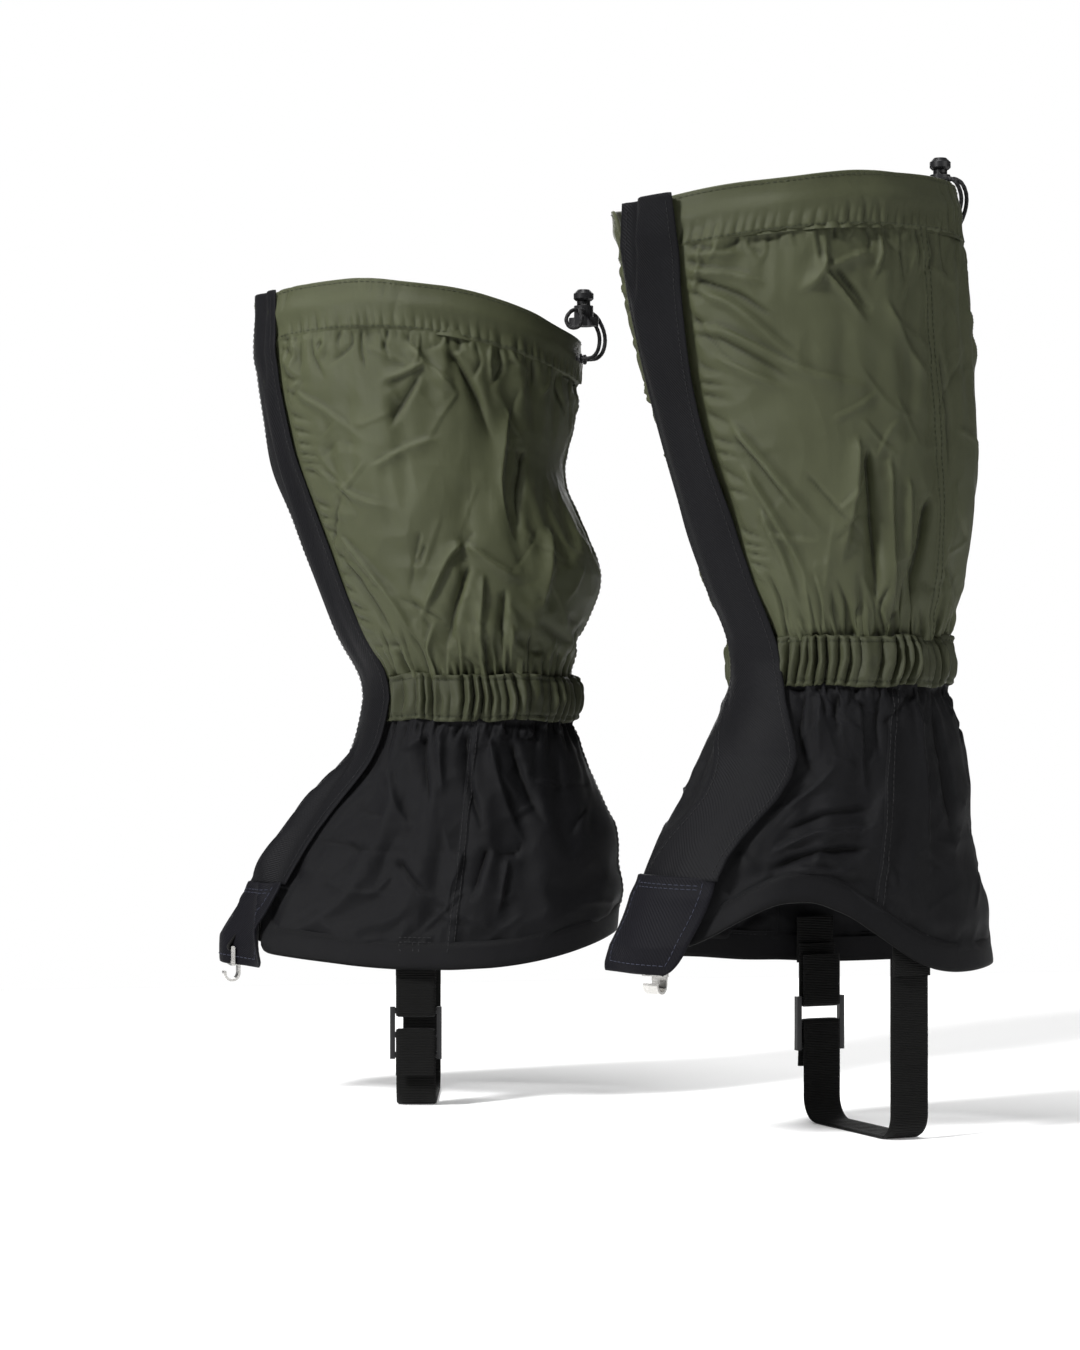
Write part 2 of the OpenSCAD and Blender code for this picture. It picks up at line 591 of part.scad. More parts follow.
place(LEFT) upper_outer_panel(LEFT);  // left_upper_outer_panel
place(LEFT) upper_inner_panel(LEFT);  // left_upper_inner_panel
place(LEFT) top_hem(LEFT);  // left_top_hem
place(LEFT) drawcord(LEFT);  // left_drawcord
place(LEFT) drawcord_loop(LEFT);  // left_drawcord_loop
place(LEFT) cord_eyelets(LEFT);  // left_cord_eyelets
place(LEFT) cord_lock_body(LEFT);  // left_cord_lock_body
place(LEFT) cord_lock_button(LEFT);  // left_cord_lock_button
place(LEFT) cord_lock_spring(LEFT);  // left_cord_lock_spring
place(LEFT) ankle_sleeve(LEFT);  // left_ankle_sleeve
place(LEFT) ankle_elastic(LEFT);  // left_ankle_elastic
place(LEFT) skirt_front_outer(LEFT);  // left_skirt_front_outer
place(LEFT) skirt_front_inner(LEFT);  // left_skirt_front_inner
place(LEFT) skirt_rear(LEFT);  // left_skirt_rear
place(LEFT) skirt_hem(LEFT);  // left_skirt_hem
place(LEFT) front_loop_strip(LEFT);  // left_front_loop_strip
place(LEFT) front_flap(LEFT);  // left_front_flap
place(LEFT) flap_hook_strip(LEFT);  // left_flap_hook_strip
place(LEFT) lower_flap(LEFT);  // left_lower_flap
place(LEFT) flap_tab(LEFT);  // left_flap_tab
place(LEFT) tab_patch(LEFT);  // left_tab_patch
place(LEFT) lace_hook(LEFT);  // left_lace_hook
place(LEFT) hook_tape(LEFT);  // left_hook_tape
place(LEFT) strap_anchor(LEFT);  // left_strap_anchor
place(LEFT) instep_strap(LEFT);  // left_instep_strap
place(LEFT) strap_loop(LEFT);  // left_strap_loop
place(LEFT) strap_buckle(LEFT);  // left_strap_buckle
place(LEFT) strap_tail(LEFT);  // left_strap_tail
place(RIGHT) upper_outer_panel(RIGHT);  // right_upper_outer_panel
place(RIGHT) upper_inner_panel(RIGHT);  // right_upper_inner_panel
place(RIGHT) top_hem(RIGHT);  // right_top_hem
place(RIGHT) drawcord(RIGHT);  // right_drawcord
place(RIGHT) drawcord_loop(RIGHT);  // right_drawcord_loop
place(RIGHT) cord_eyelets(RIGHT);  // right_cord_eyelets
place(RIGHT) cord_lock_body(RIGHT);  // right_cord_lock_body
place(RIGHT) cord_lock_button(RIGHT);  // right_cord_lock_button
place(RIGHT) cord_lock_spring(RIGHT);  // right_cord_lock_spring
place(RIGHT) ankle_sleeve(RIGHT);  // right_ankle_sleeve
place(RIGHT) ankle_elastic(RIGHT);  // right_ankle_elastic
place(RIGHT) skirt_front_outer(RIGHT);  // right_skirt_front_outer
place(RIGHT) skirt_front_inner(RIGHT);  // right_skirt_front_inner
place(RIGHT) skirt_rear(RIGHT);  // right_skirt_rear
place(RIGHT) skirt_hem(RIGHT);  // right_skirt_hem
place(RIGHT) front_loop_strip(RIGHT);  // right_front_loop_strip
place(RIGHT) front_flap(RIGHT);  // right_front_flap
place(RIGHT) flap_hook_strip(RIGHT);  // right_flap_hook_strip
place(RIGHT) lower_flap(RIGHT);  // right_lower_flap
place(RIGHT) flap_tab(RIGHT);  // right_flap_tab
place(RIGHT) tab_patch(RIGHT);  // right_tab_patch
place(RIGHT) lace_hook(RIGHT);  // right_lace_hook
place(RIGHT) hook_tape(RIGHT);  // right_hook_tape
place(RIGHT) strap_anchor(RIGHT);  // right_strap_anchor
place(RIGHT) instep_strap(RIGHT);  // right_instep_strap
place(RIGHT) strap_loop(RIGHT);  // right_strap_loop
place(RIGHT) strap_buckle(RIGHT);  // right_strap_buckle
place(RIGHT) strap_tail(RIGHT);  // right_strap_tail
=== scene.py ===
import json
import math

import bpy
import numpy as np
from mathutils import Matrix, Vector
from mathutils.bvhtree import BVHTree


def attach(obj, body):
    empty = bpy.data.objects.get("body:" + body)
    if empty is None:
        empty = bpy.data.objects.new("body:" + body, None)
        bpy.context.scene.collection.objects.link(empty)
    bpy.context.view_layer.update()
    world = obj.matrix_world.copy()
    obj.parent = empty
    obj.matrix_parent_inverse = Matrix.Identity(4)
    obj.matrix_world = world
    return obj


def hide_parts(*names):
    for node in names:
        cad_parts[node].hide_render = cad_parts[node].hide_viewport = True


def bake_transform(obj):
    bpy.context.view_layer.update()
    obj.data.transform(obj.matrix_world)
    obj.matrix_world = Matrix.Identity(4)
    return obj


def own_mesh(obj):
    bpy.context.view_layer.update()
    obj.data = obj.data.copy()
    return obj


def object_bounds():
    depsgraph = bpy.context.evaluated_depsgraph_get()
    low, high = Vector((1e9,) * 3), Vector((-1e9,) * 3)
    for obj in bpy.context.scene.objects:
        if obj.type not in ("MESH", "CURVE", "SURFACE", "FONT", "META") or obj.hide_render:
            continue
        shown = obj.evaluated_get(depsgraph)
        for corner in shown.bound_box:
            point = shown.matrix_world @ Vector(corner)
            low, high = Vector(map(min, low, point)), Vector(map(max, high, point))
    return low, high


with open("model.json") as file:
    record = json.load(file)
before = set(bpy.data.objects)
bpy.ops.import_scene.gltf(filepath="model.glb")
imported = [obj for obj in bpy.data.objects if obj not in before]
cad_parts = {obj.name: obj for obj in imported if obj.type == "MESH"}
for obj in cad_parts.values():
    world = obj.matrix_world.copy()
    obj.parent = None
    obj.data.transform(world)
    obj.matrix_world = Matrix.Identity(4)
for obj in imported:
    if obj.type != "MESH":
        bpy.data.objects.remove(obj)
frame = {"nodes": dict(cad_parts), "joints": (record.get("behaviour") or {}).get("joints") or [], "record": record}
CAD_BOUNDS = [list(v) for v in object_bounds()]
RECORD = frame["record"]
NODES = frame["nodes"]
MOUNTS = {m["name"]: m for m in RECORD["mounts"]}
JOINTS = {j["name"]: j for j in frame["joints"]}
MM = 0.001
BAND = 20 * MM  # height of the elastic band
TOP_HEM = 22 * MM
UP = np.array([0.0, 0.0, 1.0])


# ---------------------------------------------------------------- camera, floor and light
def look_at(obj, forward):
    obj.rotation_mode = "QUATERNION"
    obj.rotation_quaternion = Vector(forward).to_track_quat("-Z", "Y")


def add_camera():
    """A long lens from the left of the wearer, a little below the ankle bands."""
    data = bpy.data.cameras.new("camera")
    cam = bpy.data.objects.new("camera", data)
    bpy.context.scene.collection.objects.link(cam)
    azimuth, pitch = math.radians(78), math.radians(0.42)
    cam.location = (1.5356, -0.4708, -0.0179)
    level = math.cos(pitch)
    look_at(cam, (-math.sin(azimuth) * level, math.cos(azimuth) * level, math.sin(pitch)))
    data.sensor_width = 36
    data.lens = 90.45
    data.clip_start, data.clip_end = 0.05, 40
    bpy.context.scene.camera = cam


def area_light(name, at, target, size, power):
    data = bpy.data.lights.new(name, "AREA")
    data.shape = "RECTANGLE"
    data.size, data.size_y = size
    data.energy = power
    obj = bpy.data.objects.new(name, data)
    bpy.context.scene.collection.objects.link(obj)
    obj.location = at
    look_at(obj, np.array(target) - np.array(at))


def add_studio():
    """A pale floor and soft light from above, in front of the wearer."""
    low = float(CAD_BOUNDS[0][2])
    size = 0.85
    mesh = bpy.data.meshes.new("floor")
    corners = [(-size, -size, low), (size, -size, low), (size, size, low), (-size, size, low)]
    mesh.from_pydata(corners, [], [(0, 1, 2, 3)])
    floor = bpy.data.objects.new("floor", mesh)
    bpy.context.scene.collection.objects.link(floor)
    mesh.materials.append(floor_material())
    area_light("key", (1.0, -2.0, 1.5), (-0.05, -0.05, 0.05), (0.42, 0.42), 113)
    area_light("fill", (1.6, 1.3, 0.7), (0, 0, 0), (1.6, 1.4), 17)
    area_light("top", (0.1, -0.4, 2.0), (-0.05, -0.1, 0), (0.8, 0.8), 24)
    area_light("back", (-1.9, 0.3, 0.8), (0, 0, 0), (1.6, 1.4), 18)
    world = bpy.data.worlds.new("studio")
    bpy.context.scene.world = world
    world.use_nodes = True
    tree = world.node_tree
    sky = tree.nodes["Background"]
    sky.inputs["Color"].default_value = (1, 1, 1, 1)
    # the paper behind the object is white, and lights it less than that
    strength = tree.nodes.new("ShaderNodeMapRange")
    strength.inputs["To Min"].default_value = 0.13
    strength.inputs["To Max"].default_value = 1.0
    tree.links.new(tree.nodes.new("ShaderNodeLightPath").outputs["Is Camera Ray"], strength.inputs["Value"])
    tree.links.new(strength.outputs["Result"], sky.inputs["Strength"])


# ---------------------------------------------------------------- materials
class Nodes:
    """A short way to wire shader nodes."""

    def __init__(self, name):
        self.mat = bpy.data.materials.new(name)
        self.mat.use_nodes = True
        self.tree = self.mat.node_tree
        self.bsdf = self.tree.nodes["Principled BSDF"]

    def node(self, kind, **settings):
        n = self.tree.nodes.new(kind)
        for key, value in settings.items():
            setattr(n, key, value)
        return n

    def link(self, a, b):
        self.tree.links.new(a, b)

    def put(self, target, value):
        if hasattr(value, "links"):
            self.link(value, target)
        else:
            target.default_value = value

    def math(self, op, a, b=0.0, c=0.0):
        n = self.node("ShaderNodeMath", operation=op)
        for socket, value in zip(n.inputs, (a, b, c)):
            self.put(socket, value)
        return n.outputs[0]

    def add(self, a, b):
        return self.math("ADD", a, b)

    def times(self, a, b):
        return self.math("MULTIPLY", a, b)

    def coords(self, kind="Object"):
        return self.node("ShaderNodeTexCoord").outputs[kind]

    def pointiness(self):
        """Above a half on what stands out from the surface, below it in hollows."""
        return self.node("ShaderNodeNewGeometry").outputs["Pointiness"]

    def scaled(self, vector, scale):
        n = self.node("ShaderNodeMapping")
        self.link(vector, n.inputs["Vector"])
        n.inputs["Scale"].default_value = scale
        return n.outputs[0]

    def noise(self, vector, scale, detail=3.0, rough=0.55):
        n = self.node("ShaderNodeTexNoise")
        self.link(vector, n.inputs["Vector"])
        n.inputs["Scale"].default_value = scale
        n.inputs["Detail"].default_value = detail
        n.inputs["Roughness"].default_value = rough
        return n.outputs[0]

    def wave(self, vector, axis, per_metre):
        n = self.node("ShaderNodeTexWave", wave_type="BANDS", bands_direction=axis, wave_profile="SIN")
        self.link(vector, n.inputs["Vector"])
        n.inputs["Scale"].default_value = per_metre / 3.1831
        return n.outputs["Fac"]

    def ramp(self, value, stops):
        n = self.node("ShaderNodeValToRGB")
        self.link(value, n.inputs[0])
        band = n.color_ramp
        while len(band.elements) < len(stops):
            band.elements.new(0.5)
        for e, (at, color) in zip(band.elements, stops):
            e.position = at
            e.color = (*color, 1) if len(color) == 3 else color
        return n.outputs[0]

    def mix(self, factor, a, b, mode="MIX"):
        n = self.node("ShaderNodeMix", data_type="RGBA", blend_type=mode)
        self.put(n.inputs[0], factor)
        for socket, value in ((n.inputs[6], a), (n.inputs[7], b)):
            self.put(socket, (*value, 1) if isinstance(value, tuple) and len(value) == 3 else value)
        return n.outputs[2]

    def bump(self, height, distance, strength=1.0, under=None):
        n = self.node("ShaderNodeBump")
        n.inputs["Strength"].default_value = strength
        n.inputs["Distance"].default_value = distance
        self.link(height, n.inputs["Height"])
        if under is not None:
            self.link(under, n.inputs["Normal"])
        return n.outputs[0]

    def finish(self, color, rough, normal=None, metallic=0.0, sheen=0.0, specular=0.5):
        b = self.bsdf.inputs
        self.put(b["Base Color"], (*color, 1) if isinstance(color, tuple) and len(color) == 3 else color)
        self.put(b["Roughness"], rough)
        b["Metallic"].default_value = metallic
        b["Specular IOR Level"].default_value = specular
        b["Sheen Weight"].default_value = sheen
        b["Sheen Roughness"].default_value = 0.4
        if normal is not None:
            self.link(normal, b["Normal"])
        return self.mat


def grey(value):
    return (value, value, value)


def cloth_material(name, dark, light, rough, threads, weave_depth, sheen, specular, twill=False, wear=0.2):
    """Coated woven cloth: threads per metre across the UVs, soft mottling, creases rubbed paler, and painted shade
    that darkens the folds' hollows.
    """
    m = Nodes(name)
    uv, place = m.coords("UV"), m.coords()
    warp = m.wave(uv, "X", threads)
    weft = m.wave(uv, "Y", threads)
    if twill:
        weave = m.add(m.wave(uv, "DIAGONAL", threads * 0.7), m.times(warp, 0.4))
    else:
        under = m.times(m.math("SUBTRACT", 1.0, warp), m.math("SUBTRACT", 1.0, weft))
        weave = m.add(m.times(warp, weft), under)
    slubs = m.noise(m.scaled(uv, (900, 60, 1)), 1.0, 2.0)
    mottle = m.noise(place, 26, 4.0)
    broad = m.noise(place, 7, 2.0)
    tone = m.add(m.times(mottle, 0.5), m.times(broad, 0.5))
    base = m.ramp(tone, [(0.32, dark), (0.68, light)])
    base = m.mix(m.times(weave, 0.16), base, grey(1), "SOFT_LIGHT")
    base = m.mix(m.times(slubs, 0.10), base, grey(0))
    edge = m.pointiness()
    standing = m.ramp(edge, [(0.51, grey(0)), (0.58, grey(1))])
    rubbed = m.times(standing, m.times(m.noise(place, 160, 3.0), wear))
    pale = tuple(min(1.0, c * 1.8 + 0.004) for c in light)
    base = m.mix(rubbed, base, pale)
    # painted shade: the folds' hollows, found by pointiness, are darkened in the base colour
    base = m.mix(1.0, base, m.ramp(edge, [(0.44, (0.45, 0.45, 0.42)), (0.495, grey(1))]), "MULTIPLY")
    height = m.add(weave, m.times(slubs, 0.5))
    crinkle = m.noise(place, 210, 4.0, 0.6)
    normal = m.bump(crinkle, 0.00022, 0.5)
    normal = m.bump(height, weave_depth, 0.6, normal)
    roughness = m.add(rough - 0.06, m.times(mottle, 0.16))
    return m.finish(base, roughness, normal, sheen=sheen, specular=specular)


def webbing_material():
    m = Nodes("webbing")
    uv, place = m.coords("UV"), m.coords()
    ribs = m.wave(uv, "Y", 1250)
    cross = m.wave(uv, "X", 1900)
    fuzz = m.noise(place, 1500, 2.0)
    tone = m.add(m.times(ribs, 0.6), m.times(fuzz, 0.4))
    base = m.ramp(tone, [(0.2, grey(0.0022)), (0.8, (0.0072, 0.0072, 0.0068))])
    normal = m.bump(m.add(m.times(ribs, cross), ribs), 0.00025, 0.8)
    return m.finish(base, m.add(0.55, m.times(fuzz, 0.2)), normal, sheen=0.02, specular=0.08)


def cord_material():
    m = Nodes("drawcord")
    uv, place = m.coords("UV"), m.coords()
    a = m.wave(m.scaled(uv, (1.0, 1.0, 1)), "DIAGONAL", 900)
    b = m.wave(m.scaled(uv, (-1.0, 1.0, 1)), "DIAGONAL", 900)
    strands = m.math("MAXIMUM", a, b)
    base = m.ramp(strands, [(0.3, grey(0.003)), (0.95, (0.014, 0.014, 0.015))])
    rough = m.add(0.45, m.times(m.noise(place, 900), 0.2))
    return m.finish(base, rough, m.bump(strands, 0.0002, 0.8), sheen=0.08, specular=0.15)


def thread_material(name, color):
    m = Nodes(name)
    place = m.coords()
    twist = m.noise(place, 2600, 2.0)
    base = m.mix(twist, color, tuple(min(1, c * 1.9 + 0.01) for c in color))
    return m.finish(base, 0.5, m.bump(twist, 0.00008, 0.6), sheen=0.1, specular=0.15)


def plastic_material(name, color, rough):
    m = Nodes(name)
    place = m.coords()
    grain = m.noise(place, 2400, 2.0)
    smear = m.noise(place, 90, 3.0)
    standing = m.ramp(m.pointiness(), [(0.52, grey(0)), (0.62, grey(1))])
    base = m.mix(m.times(standing, m.times(smear, 0.6)), color, tuple(c * 4 + 0.03 for c in color))
    rough = m.add(rough, m.times(smear, 0.22))
    return m.finish(base, rough, m.bump(grain, 0.00006, 0.5), specular=0.3)


def steel_material():
    m = Nodes("steel")
    place = m.coords()
    brushed = m.noise(m.scaled(place, (400, 400, 5200)), 1.0, 3.0)
    spots = m.noise(place, 320, 4.0)
    tone = m.add(m.times(brushed, 0.5), m.times(spots, 0.5))
    base = m.ramp(tone, [(0.3, (0.42, 0.41, 0.39)), (0.7, (0.66, 0.65, 0.63))])
    rough = m.add(0.16, m.times(spots, 0.22))
    return m.finish(base, rough, m.bump(brushed, 0.00004, 0.4), metallic=1.0)


def fastener_material(name, loops):
    """Hook-and-loop tape: a felted pile, or rows of small hooks."""
    m = Nodes(name)
    uv, place = m.coords("UV"), m.coords()
    if loops:
        pile = m.noise(place, 1700, 5.0, 0.75)
    else:
        pile = m.times(m.wave(uv, "X", 700), m.wave(uv, "Y", 480))
    base = m.ramp(pile, [(0.25, grey(0.002)), (0.75, (0.014, 0.014, 0.0145))])
    return m.finish(base, 0.7, m.bump(pile, 0.0007, 1.0), sheen=0.2 if loops else 0.05, specular=0.1)


def floor_material():
    m = Nodes("floor_paper")
    tone = m.ramp(m.noise(m.coords(), 3.0), [(0.3, grey(0.90)), (0.7, grey(0.92))])
    m.bsdf.inputs["Emission Color"].default_value = (1, 1, 1, 1)
    m.bsdf.inputs["Emission Strength"].default_value = 0.12
    return m.finish(tone, 0.9, specular=0.05)


def elastic_material():
    m = Nodes("elastic_tape")
    uv = m.coords("UV")
    ribs = m.wave(uv, "Y", 700)
    base = m.ramp(ribs, [(0.2, grey(0.12)), (0.8, grey(0.3))])
    return m.finish(base, 0.7, m.bump(ribs, 0.0003, 0.7))


COATED = dict(rough=0.40, threads=2600, weave_depth=0.00012, sheen=0.03, specular=0.16)
FLAP_DARK, FLAP_LIGHT = (0.0041, 0.0041, 0.0048), (0.0062, 0.0062, 0.0072)
TAB_DARK, TAB_LIGHT = (0.0036, 0.0035, 0.0050), (0.0053, 0.0052, 0.0070)
BLACK_TWILL = dict(threads=1700, weave_depth=0.00018, sheen=0.02, twill=True, specular=0.06, wear=0.12)
BLACK_PLAIN = dict(rough=0.46, threads=2200, weave_depth=0.00014, sheen=0.02, specular=0.07, wear=0.1)
MATS = {
    "shell": cloth_material("shell_cloth", (0.039, 0.0425, 0.0215), (0.056, 0.0612, 0.0325), **COATED),
    # the sleeve's colour is the shell's green darkened by a third: painted shade for the gathered ankle band
    "sleeve": cloth_material("sleeve_cloth_painted_shade", (0.0255, 0.028, 0.0142), (0.037, 0.040, 0.0215), **COATED),
    "skirt": cloth_material("skirt_cloth", (0.0040, 0.0040, 0.0046), (0.0062, 0.0062, 0.0070), **BLACK_PLAIN),
    "flap": cloth_material("flap_cloth", FLAP_DARK, FLAP_LIGHT, 0.52, **BLACK_TWILL),
    "tab": cloth_material("tab_cloth", TAB_DARK, TAB_LIGHT, 0.54, **BLACK_TWILL),
    "webbing": webbing_material(),
    "cord": cord_material(),
    "thread_green": thread_material("thread_green", (0.016, 0.019, 0.009)),
    "thread_black": thread_material("thread_black", (0.006, 0.006, 0.0065)),
    "thread_blue": thread_material("thread_blue", (0.017, 0.019, 0.032)),
    "moulded": plastic_material("moulded_plastic", (0.0045, 0.0045, 0.0052), 0.2),
    "grommet": plastic_material("grommet_enamel", (0.006, 0.006, 0.0065), 0.3),
    "steel": steel_material(),
    "loop_tape": fastener_material("loop_tape", True),
    "hook_tape": fastener_material("hook_tape_cloth", False),
    "elastic": elastic_material(),
}


# ---------------------------------------------------------------- numbers and grids
def gauss(n, sigma):
    x = np.arange(-n, n + 1)
    k = np.exp(-0.5 * (x / sigma) ** 2)
    return k / k.sum()


def smooth_round(a, sigma):
    """Smooths along axis 0, which closes on itself."""
    n = int(3 * sigma) + 1
    k = gauss(n, sigma)
    return sum(w * np.roll(a, i - n, axis=0) for i, w in enumerate(k))


def smooth_open(a, sigma, axis):
    n = min(int(3 * sigma) + 1, a.shape[axis] - 1)
    k = gauss(n, sigma)
    a = np.moveaxis(a, axis, 0)
    pad = np.concatenate([2 * a[:1] - a[n:0:-1], a, 2 * a[-1:] - a[-2:-n - 2:-1]])
    out = sum(w * pad[i : i + len(a)] for i, w in enumerate(k))
    return np.moveaxis(out, 0, axis)


def distances(p):
    """How far along a line of points each of them lies."""
    return np.concatenate([[0], np.cumsum(np.linalg.norm(np.diff(p, axis=0), axis=1))])


def ease(t):
    t = np.clip(t, 0, 1)
    return t * t * (3 - 2 * t)


def wander(seed, n, sigma, closed=False):
    """Smooth noise of about unit size along a line of n points."""
    a = np.random.default_rng(seed).normal(size=n)
    a = smooth_round(a, sigma) if closed else smooth_open(a, sigma, 0)
    return (a - a.mean()) / (a.std() + 1e-9)


def field(seed, shape, sigmas, closed=True):
    """Smooth noise of about unit size over a grid; axis 0 may close on itself."""
    a = np.random.default_rng(seed).normal(size=shape)
    a = smooth_round(a, sigmas[0]) if closed else smooth_open(a, sigmas[0], 0)
    a = smooth_open(a, sigmas[1], 1)
    return (a - a.mean()) / (a.std() + 1e-9)


def unit(v):
    return v / np.maximum(np.linalg.norm(v, axis=-1, keepdims=True), 1e-12)


class Grid:
    """A surface of points in the row frame, with its outward normals. u runs round the leg, v up it."""

    def __init__(self, points, flip):
        self.p = np.asarray(points, float)
        du = np.gradient(self.p, axis=0)
        dv = np.gradient(self.p, axis=1)
        self.n = unit(np.cross(du, dv)) * (-1 if flip else 1)
        self.flip = flip

    def at(self, u, v, out=0.0):
        """Points at u and v from 0 to 1, moved outward."""
        u, v, out = np.broadcast_arrays(*(np.asarray(a, float) for a in (u, v, out)))
        nu, nv = self.p.shape[:2]
        x, y = np.clip(u, 0, 1) * (nu - 1), np.clip(v, 0, 1) * (nv - 1)
        i, j = np.minimum(x.astype(int), nu - 2), np.minimum(y.astype(int), nv - 2)
        fx, fy = (x - i)[..., None], (y - j)[..., None]

        def mix(a):
            low = a[i, j] * (1 - fx) + a[i + 1, j] * fx
            high = a[i, j + 1] * (1 - fx) + a[i + 1, j + 1] * fx
            return low * (1 - fy) + high * fy

        return mix(self.p) + unit(mix(self.n)) * out[..., None]

    def finer(self):
        """Twice as fine in both directions, by smooth curves through the points."""
        p = self.p
        for axis in (0, 1):
            a = np.moveaxis(p, axis, 0)
            ext = np.concatenate([2 * a[:1] - a[1:2], a, 2 * a[-1:] - a[-2:-1]])
            middle = (-ext[:-3] + 9 * ext[1:-2] + 9 * ext[2:-1] - ext[3:]) / 16
            out = np.empty((len(a) * 2 - 1,) + a.shape[1:])
            out[0::2], out[1::2] = a, middle
            p = np.moveaxis(out, 0, axis)
        return Grid(p, self.flip)


def new_mesh(name, points, faces, material, uvs=None):
    mesh = bpy.data.meshes.new(name)
    mesh.from_pydata([tuple(p) for p in points], [], faces)
    mesh.materials.append(material)
    if uvs is not None:
        layer = mesh.uv_layers.new(name="UVMap")
        index = np.zeros(len(mesh.loops), np.int32)
        mesh.loops.foreach_get("vertex_index", index)
        layer.data.foreach_set("uv", np.asarray(uvs, np.float32)[index].ravel())
    mesh.polygons.foreach_set("use_smooth", [True] * len(mesh.polygons))
    mesh.update()
    obj = bpy.data.objects.new(name, mesh)
    bpy.context.scene.collection.objects.link(obj)
    return obj


def grid_faces(nu, nv, closed=False, flip=False, start=0):
    i, j = np.meshgrid(np.arange(nu if closed else nu - 1), np.arange(nv - 1), indexing="ij")
    i2 = (i + 1) % nu
    f = np.stack([i * nv + j, i2 * nv + j, i2 * nv + j + 1, i * nv + j + 1], -1).reshape(-1, 4) + start
    return (f[:, ::-1] if flip else f).tolist()


def grid_uvs(p):
    """Distances over the cloth, in metres."""
    u = distances(p.mean(1))
    v = np.concatenate([[0], np.cumsum(np.linalg.norm(np.diff(p, axis=1), axis=2).mean(0))])
    return np.stack(np.meshgrid(u, v, indexing="ij"), -1).reshape(-1, 2)


def cloth_piece(name, points, material, flip=False, thick=0.0):
    """A cloth surface over a grid of points; with a thickness it is closed all round, with a soft edge."""
    p = np.asarray(points, float)
    nu, nv = p.shape[:2]
    uvs = grid_uvs(p)
    if not thick:
        return new_mesh(name, p.reshape(-1, 3), grid_faces(nu, nv, flip=flip), material, uvs)
    g = Grid(p, flip)
    back = g.p - g.n * thick
    # the outline goes round between the two faces, bulging a little
    rim = [(i, 0) for i in range(nu)] + [(nu - 1, j) for j in range(1, nv)]
    rim += [(i, nv - 1) for i in range(nu - 2, -1, -1)] + [(0, j) for j in range(nv - 2, 0, -1)]
    ri, rj = np.array(rim).T
    middle = (g.p[ri, rj] + back[ri, rj]) / 2
    inner_i, inner_j = np.clip(ri, 1, nu - 2), np.clip(rj, 1, nv - 2)
    bulge = unit(g.p[ri, rj] - g.p[inner_i, inner_j]) * thick * 0.45
    middle = middle + bulge
    n = nu * nv
    points = np.concatenate([g.p.reshape(-1, 3), back.reshape(-1, 3), middle])
    faces = grid_faces(nu, nv, flip=flip) + grid_faces(nu, nv, flip=not flip, start=n)
    m = len(rim)
    front_ids, back_ids, mid_ids = ri * nv + rj, ri * nv + rj + n, np.arange(m) + 2 * n
    for k in range(m):
        k2 = (k + 1) % m
        a = [front_ids[k], mid_ids[k], mid_ids[k2], front_ids[k2]]
        b = [mid_ids[k], back_ids[k], back_ids[k2], mid_ids[k2]]
        faces += [a[::-1], b[::-1]] if flip else [a, b]
    uv = np.concatenate([uvs, uvs, uvs[front_ids]])
    return new_mesh(name, points, [[int(x) for x in f] for f in faces], material, uv)


class Threads:
    """Many short stitches gathered into one mesh."""

    def __init__(self):
        self.p, self.f = [], []

    def stitch(self, a, b, normal, radius, lift):
        """One stitch from a to b: a bowed thread that dips into the cloth at both ends."""
        a, b, normal = np.array(a), np.array(b), np.array(normal)
        along = unit(b - a)
        side = unit(np.cross(normal, along))
        start = len(self.p)
        rings = [(0.0, -1.0, 0.6), (0.12, 0.1, 0.95), (0.5, 1.0, 1.0), (0.88, 0.1, 0.95), (1.0, -1.0, 0.6)]
        for t, up, wide in rings:
            c = a + (b - a) * t + normal * lift * up
            for k in range(6):
                w = 2 * math.pi * k / 6
                self.p.append(c + radius * wide * (math.cos(w) * side + math.sin(w) * normal))
        for r in range(len(rings) - 1):
            for k in range(6):
                k2 = (k + 1) % 6
                q = start + r * 6
                self.f.append([q + k, q + k2, q + 6 + k2, q + 6 + k])

    def run(self, line, normals, pitch=2.9 * MM, fill=0.72, radius=0.16 * MM, lift=0.16 * MM, jitter=0.05):
        """A row of stitches along a line of points."""
        line, normals = np.asarray(line, float), np.asarray(normals, float)
        along = distances(line)
        n = max(1, int(along[-1] / pitch))
        starts = np.arange(n) * along[-1] / n
        r = np.random.default_rng(n)

        def at(values, s):
            return np.stack([np.interp(s, along, values[:, k]) for k in range(3)], -1)

        step = along[-1] / n * fill
        for s in starts:
            s0, s1 = s + r.normal() * jitter * pitch * 0.3, s + step
            a, b = at(line, s0), at(line, s1)
            nn = unit(at(normals, (s0 + s1) / 2))
            self.stitch(a, b, nn, radius, lift)

    def sew(self, grid, u, v, out=0.0001, **kw):
        """A row of stitches on a surface, standing this far off it."""
        line = grid.at(u, v, out)
        self.run(line, grid.at(u, v, out + 0.001) - line, **kw)

    def made(self, name, material):
        return new_mesh(name, self.p, self.f, material)


# ---------------------------------------------------------------- the leg's skin, read from the CAD panels
STEPS = 240
SKIRT_ROWS = 60
UPPER_ROWS = 120
OPEN_AT = 1.5  # degrees past the middle of the front where every cloth begins
ROUND = 357  # degrees that every cloth goes round


